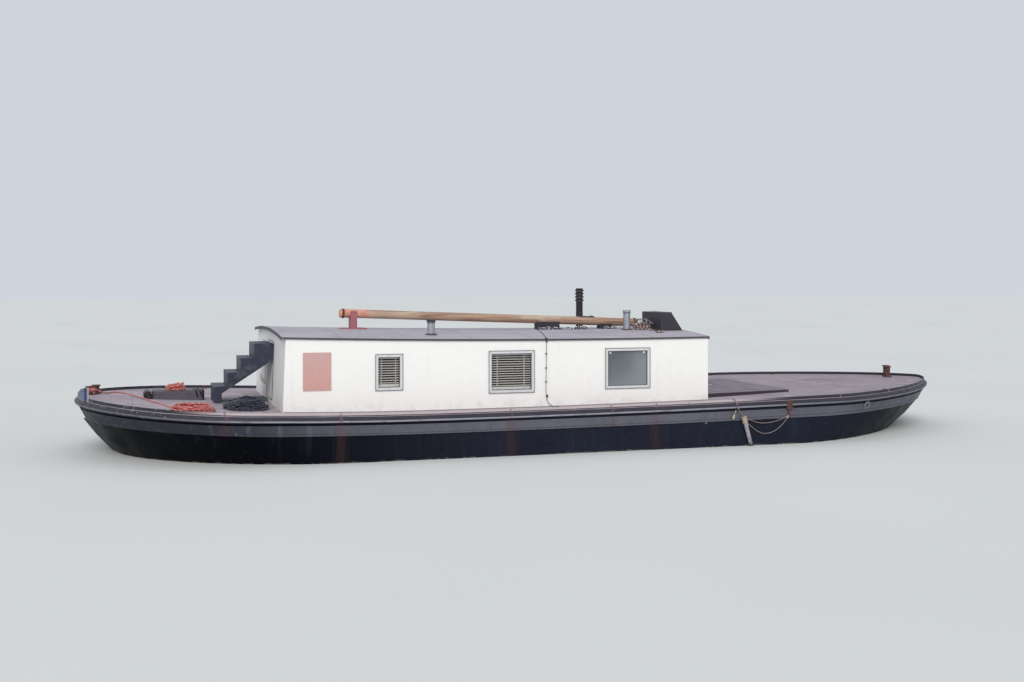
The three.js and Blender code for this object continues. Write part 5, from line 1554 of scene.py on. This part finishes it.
def roof_net():
    """Old netting bundled beside the hood, over the rope's heap."""
    rng = random.Random(23)
    net = Shapes()
    centre = centre_of("roof_rope_coil")
    for _ in range(NET_STRANDS):
        angle, reach = rng.uniform(0, 2 * math.pi), rng.uniform(0.02, 0.13)
        a = Vector((centre.x + reach * math.cos(angle), centre.y + reach * math.sin(angle), 0))
        turn = angle + rng.uniform(0.8, 2.2)
        b = a + Vector((math.cos(turn), math.sin(turn), 0)) * rng.uniform(0.06, 0.14)
        pieces = []
        for share in spread(0, 1, 7):
            spot = a.lerp(b, share)
            away = math.hypot(spot.x - centre.x, spot.y - centre.y)
            height = 2.475 + 0.055 * max(0.0, 1 - (away / 0.2) ** 2) + 0.02 * math.sin(share * math.pi)
            pieces.append(Vector((spot.x, spot.y, height - 0.02 * (away > 0.14))))
        for p, q in zip(pieces, pieces[1:]):
            net.rod(p, q, 0.0035, 6)
    net.piece("roof_netting", "brown_rope", flecked, smooth=True)


def cable_clips():
    """Clips that hold the cable down the port wall, and its knot near the foot."""
    clips, knot = Shapes(), Shapes()
    for z in CLIP_ZS:
        clips.box((CLIP_X - 0.014, 2.0, z - 0.006), (CLIP_X + 0.014, 2.032, z + 0.006), 0.002)
    for dz, radius in ((0.0, 0.010), (0.012, 0.008), (-0.012, 0.008)):
        knot.ring((0.675, 2.030, 1.37 + dz), (0.3, 0.2, 1), radius, 0.006, 20)
    clips.piece("cable_clips", "wall", dark_edge)
    knot.piece("cable_knot", "chock", rubber, smooth=True)


# Fenders

FENDER_Y = 2.5503
# x and z of a fender pole's middle line at its foot and below its rope
FENDER_FOOT, FENDER_TOP = (-2.735, 0.360), (-2.563, 0.975)
KNOB_COUNT = 26
LANYARD_HANG, LANYARD_END = (-2.412, 2.560, 1.100), (-2.372, 2.532, 0.952)
LINE_KNOTS = ((-3.380, 2.530, 0.948), (-3.372, 2.530, 0.962))


def fender_details():
    """Lashing turns and knobs of both poles, the whipping on the port lanyard and the knots of the line."""
    for side, sign in SIDES:
        foot, top = [Vector((x, sign * FENDER_Y, z)) for x, z in (FENDER_FOOT, FENDER_TOP)]
        along = (top - foot).normalized()
        rings, knobs = Shapes(), Shapes()
        for share, count in ((0.93, 6), (0.86, 3)):
            for i in range(count):
                spot = foot.lerp(top, share) + along * 0.011 * i
                rings.ring(spot, along, 0.038, 0.0055, 26)
        rings.piece(f"fender_lashing_{side}", "fender", gold_rope, smooth=True)
        rng = random.Random(31)
        for _ in range(KNOB_COUNT):
            share = rng.uniform(0.06, 0.85)
            spot = foot.lerp(top, share)
            angle = rng.uniform(0, 2 * math.pi)
            radius = 0.025 + 0.013 * share
            out = Vector((math.cos(angle), math.sin(angle), 0.0))
            size = rng.uniform(0.007, 0.013)
            knobs.rod(spot + out * (radius - 0.006), spot + out * (radius + 0.006), size, 10, size * 0.45)
        knobs.piece(f"fender_knobs_{side}", "fender", smooth=True)
    whip = Shapes()
    hang, end = Vector(LANYARD_HANG), Vector(LANYARD_END)
    whip.rod(hang, end, 0.005, 10)
    for i in range(7):
        swell = 0.006 * math.sin(math.pi * (i + 1) / 8)
        whip.ring(end.lerp(hang, 0.07 * i), end - hang, 0.008 + swell, 0.0065, 20)
    whip.piece("lanyard_whipping", "fender", gold_rope, smooth=True)
    knots = Shapes()
    for spot in LINE_KNOTS:
        knots.ring(spot, (1, 0, -0.5), 0.008, 0.005, 18)
    knots.piece("fender_line_knots", "brown_rope", gold_rope, smooth=True)


roof_trim()
roof_seams()
wall_details()
fore_wall_panel()
wall_foot_beads()
door_furniture("fore_door", 1, False)
door_furniture("aft_door", -1, True)
lid_furniture()
deck_seams()
sockets()
hull_fittings()
steps_details()
locker_details()
pole_details()
pipe_details()
roof_net()
cable_clips()
fender_details()


# Floor and light

SKY_STRENGTH = 0.78
SUN_STRENGTH = 1.75
SUN_SPREAD = math.radians(35)
SUN_COLOUR = (1.0, 0.975, 0.94)
SUN_DIRECTION = (-0.36, -1.0, -0.8)


def make_floor():
    paint = Paint("pale_floor", 0.9)
    paint.colour = paint.mix(paint.noise(0.15, 2), 0xd9dad8, 0xcfd0ce)
    material = paint.done()
    mesh = bpy.data.meshes.new("floor")
    corners = [(-FLOOR_HALF, -FLOOR_HALF), (FLOOR_HALF, -FLOOR_HALF), (FLOOR_HALF, FLOOR_HALF),
               (-FLOOR_HALF, FLOOR_HALF)]
    mesh.from_pydata([(x, y, WATERLINE) for x, y in corners], [], [(0, 1, 2, 3)])
    mesh.materials.append(material)
    floor = bpy.data.objects.new("floor", mesh)
    bpy.context.scene.collection.objects.link(floor)


def make_light():
    world = bpy.data.worlds.new("studio")
    world.use_nodes = True
    background = world.node_tree.nodes["Background"]
    background.inputs["Color"].default_value = srgb(0xe6edf5)
    background.inputs["Strength"].default_value = SKY_STRENGTH
    bpy.context.scene.world = world
    bpy.context.scene.view_settings.view_transform = "Standard"
    key = bpy.data.lights.new("soft_key", "SUN")
    key.energy = SUN_STRENGTH
    key.angle = SUN_SPREAD
    key.color = SUN_COLOUR
    lamp = bpy.data.objects.new("soft_key", key)
    lamp.rotation_euler = Vector(SUN_DIRECTION).to_track_quat("-Z", "Y").to_euler()
    bpy.context.scene.collection.objects.link(lamp)


make_floor()
make_light()
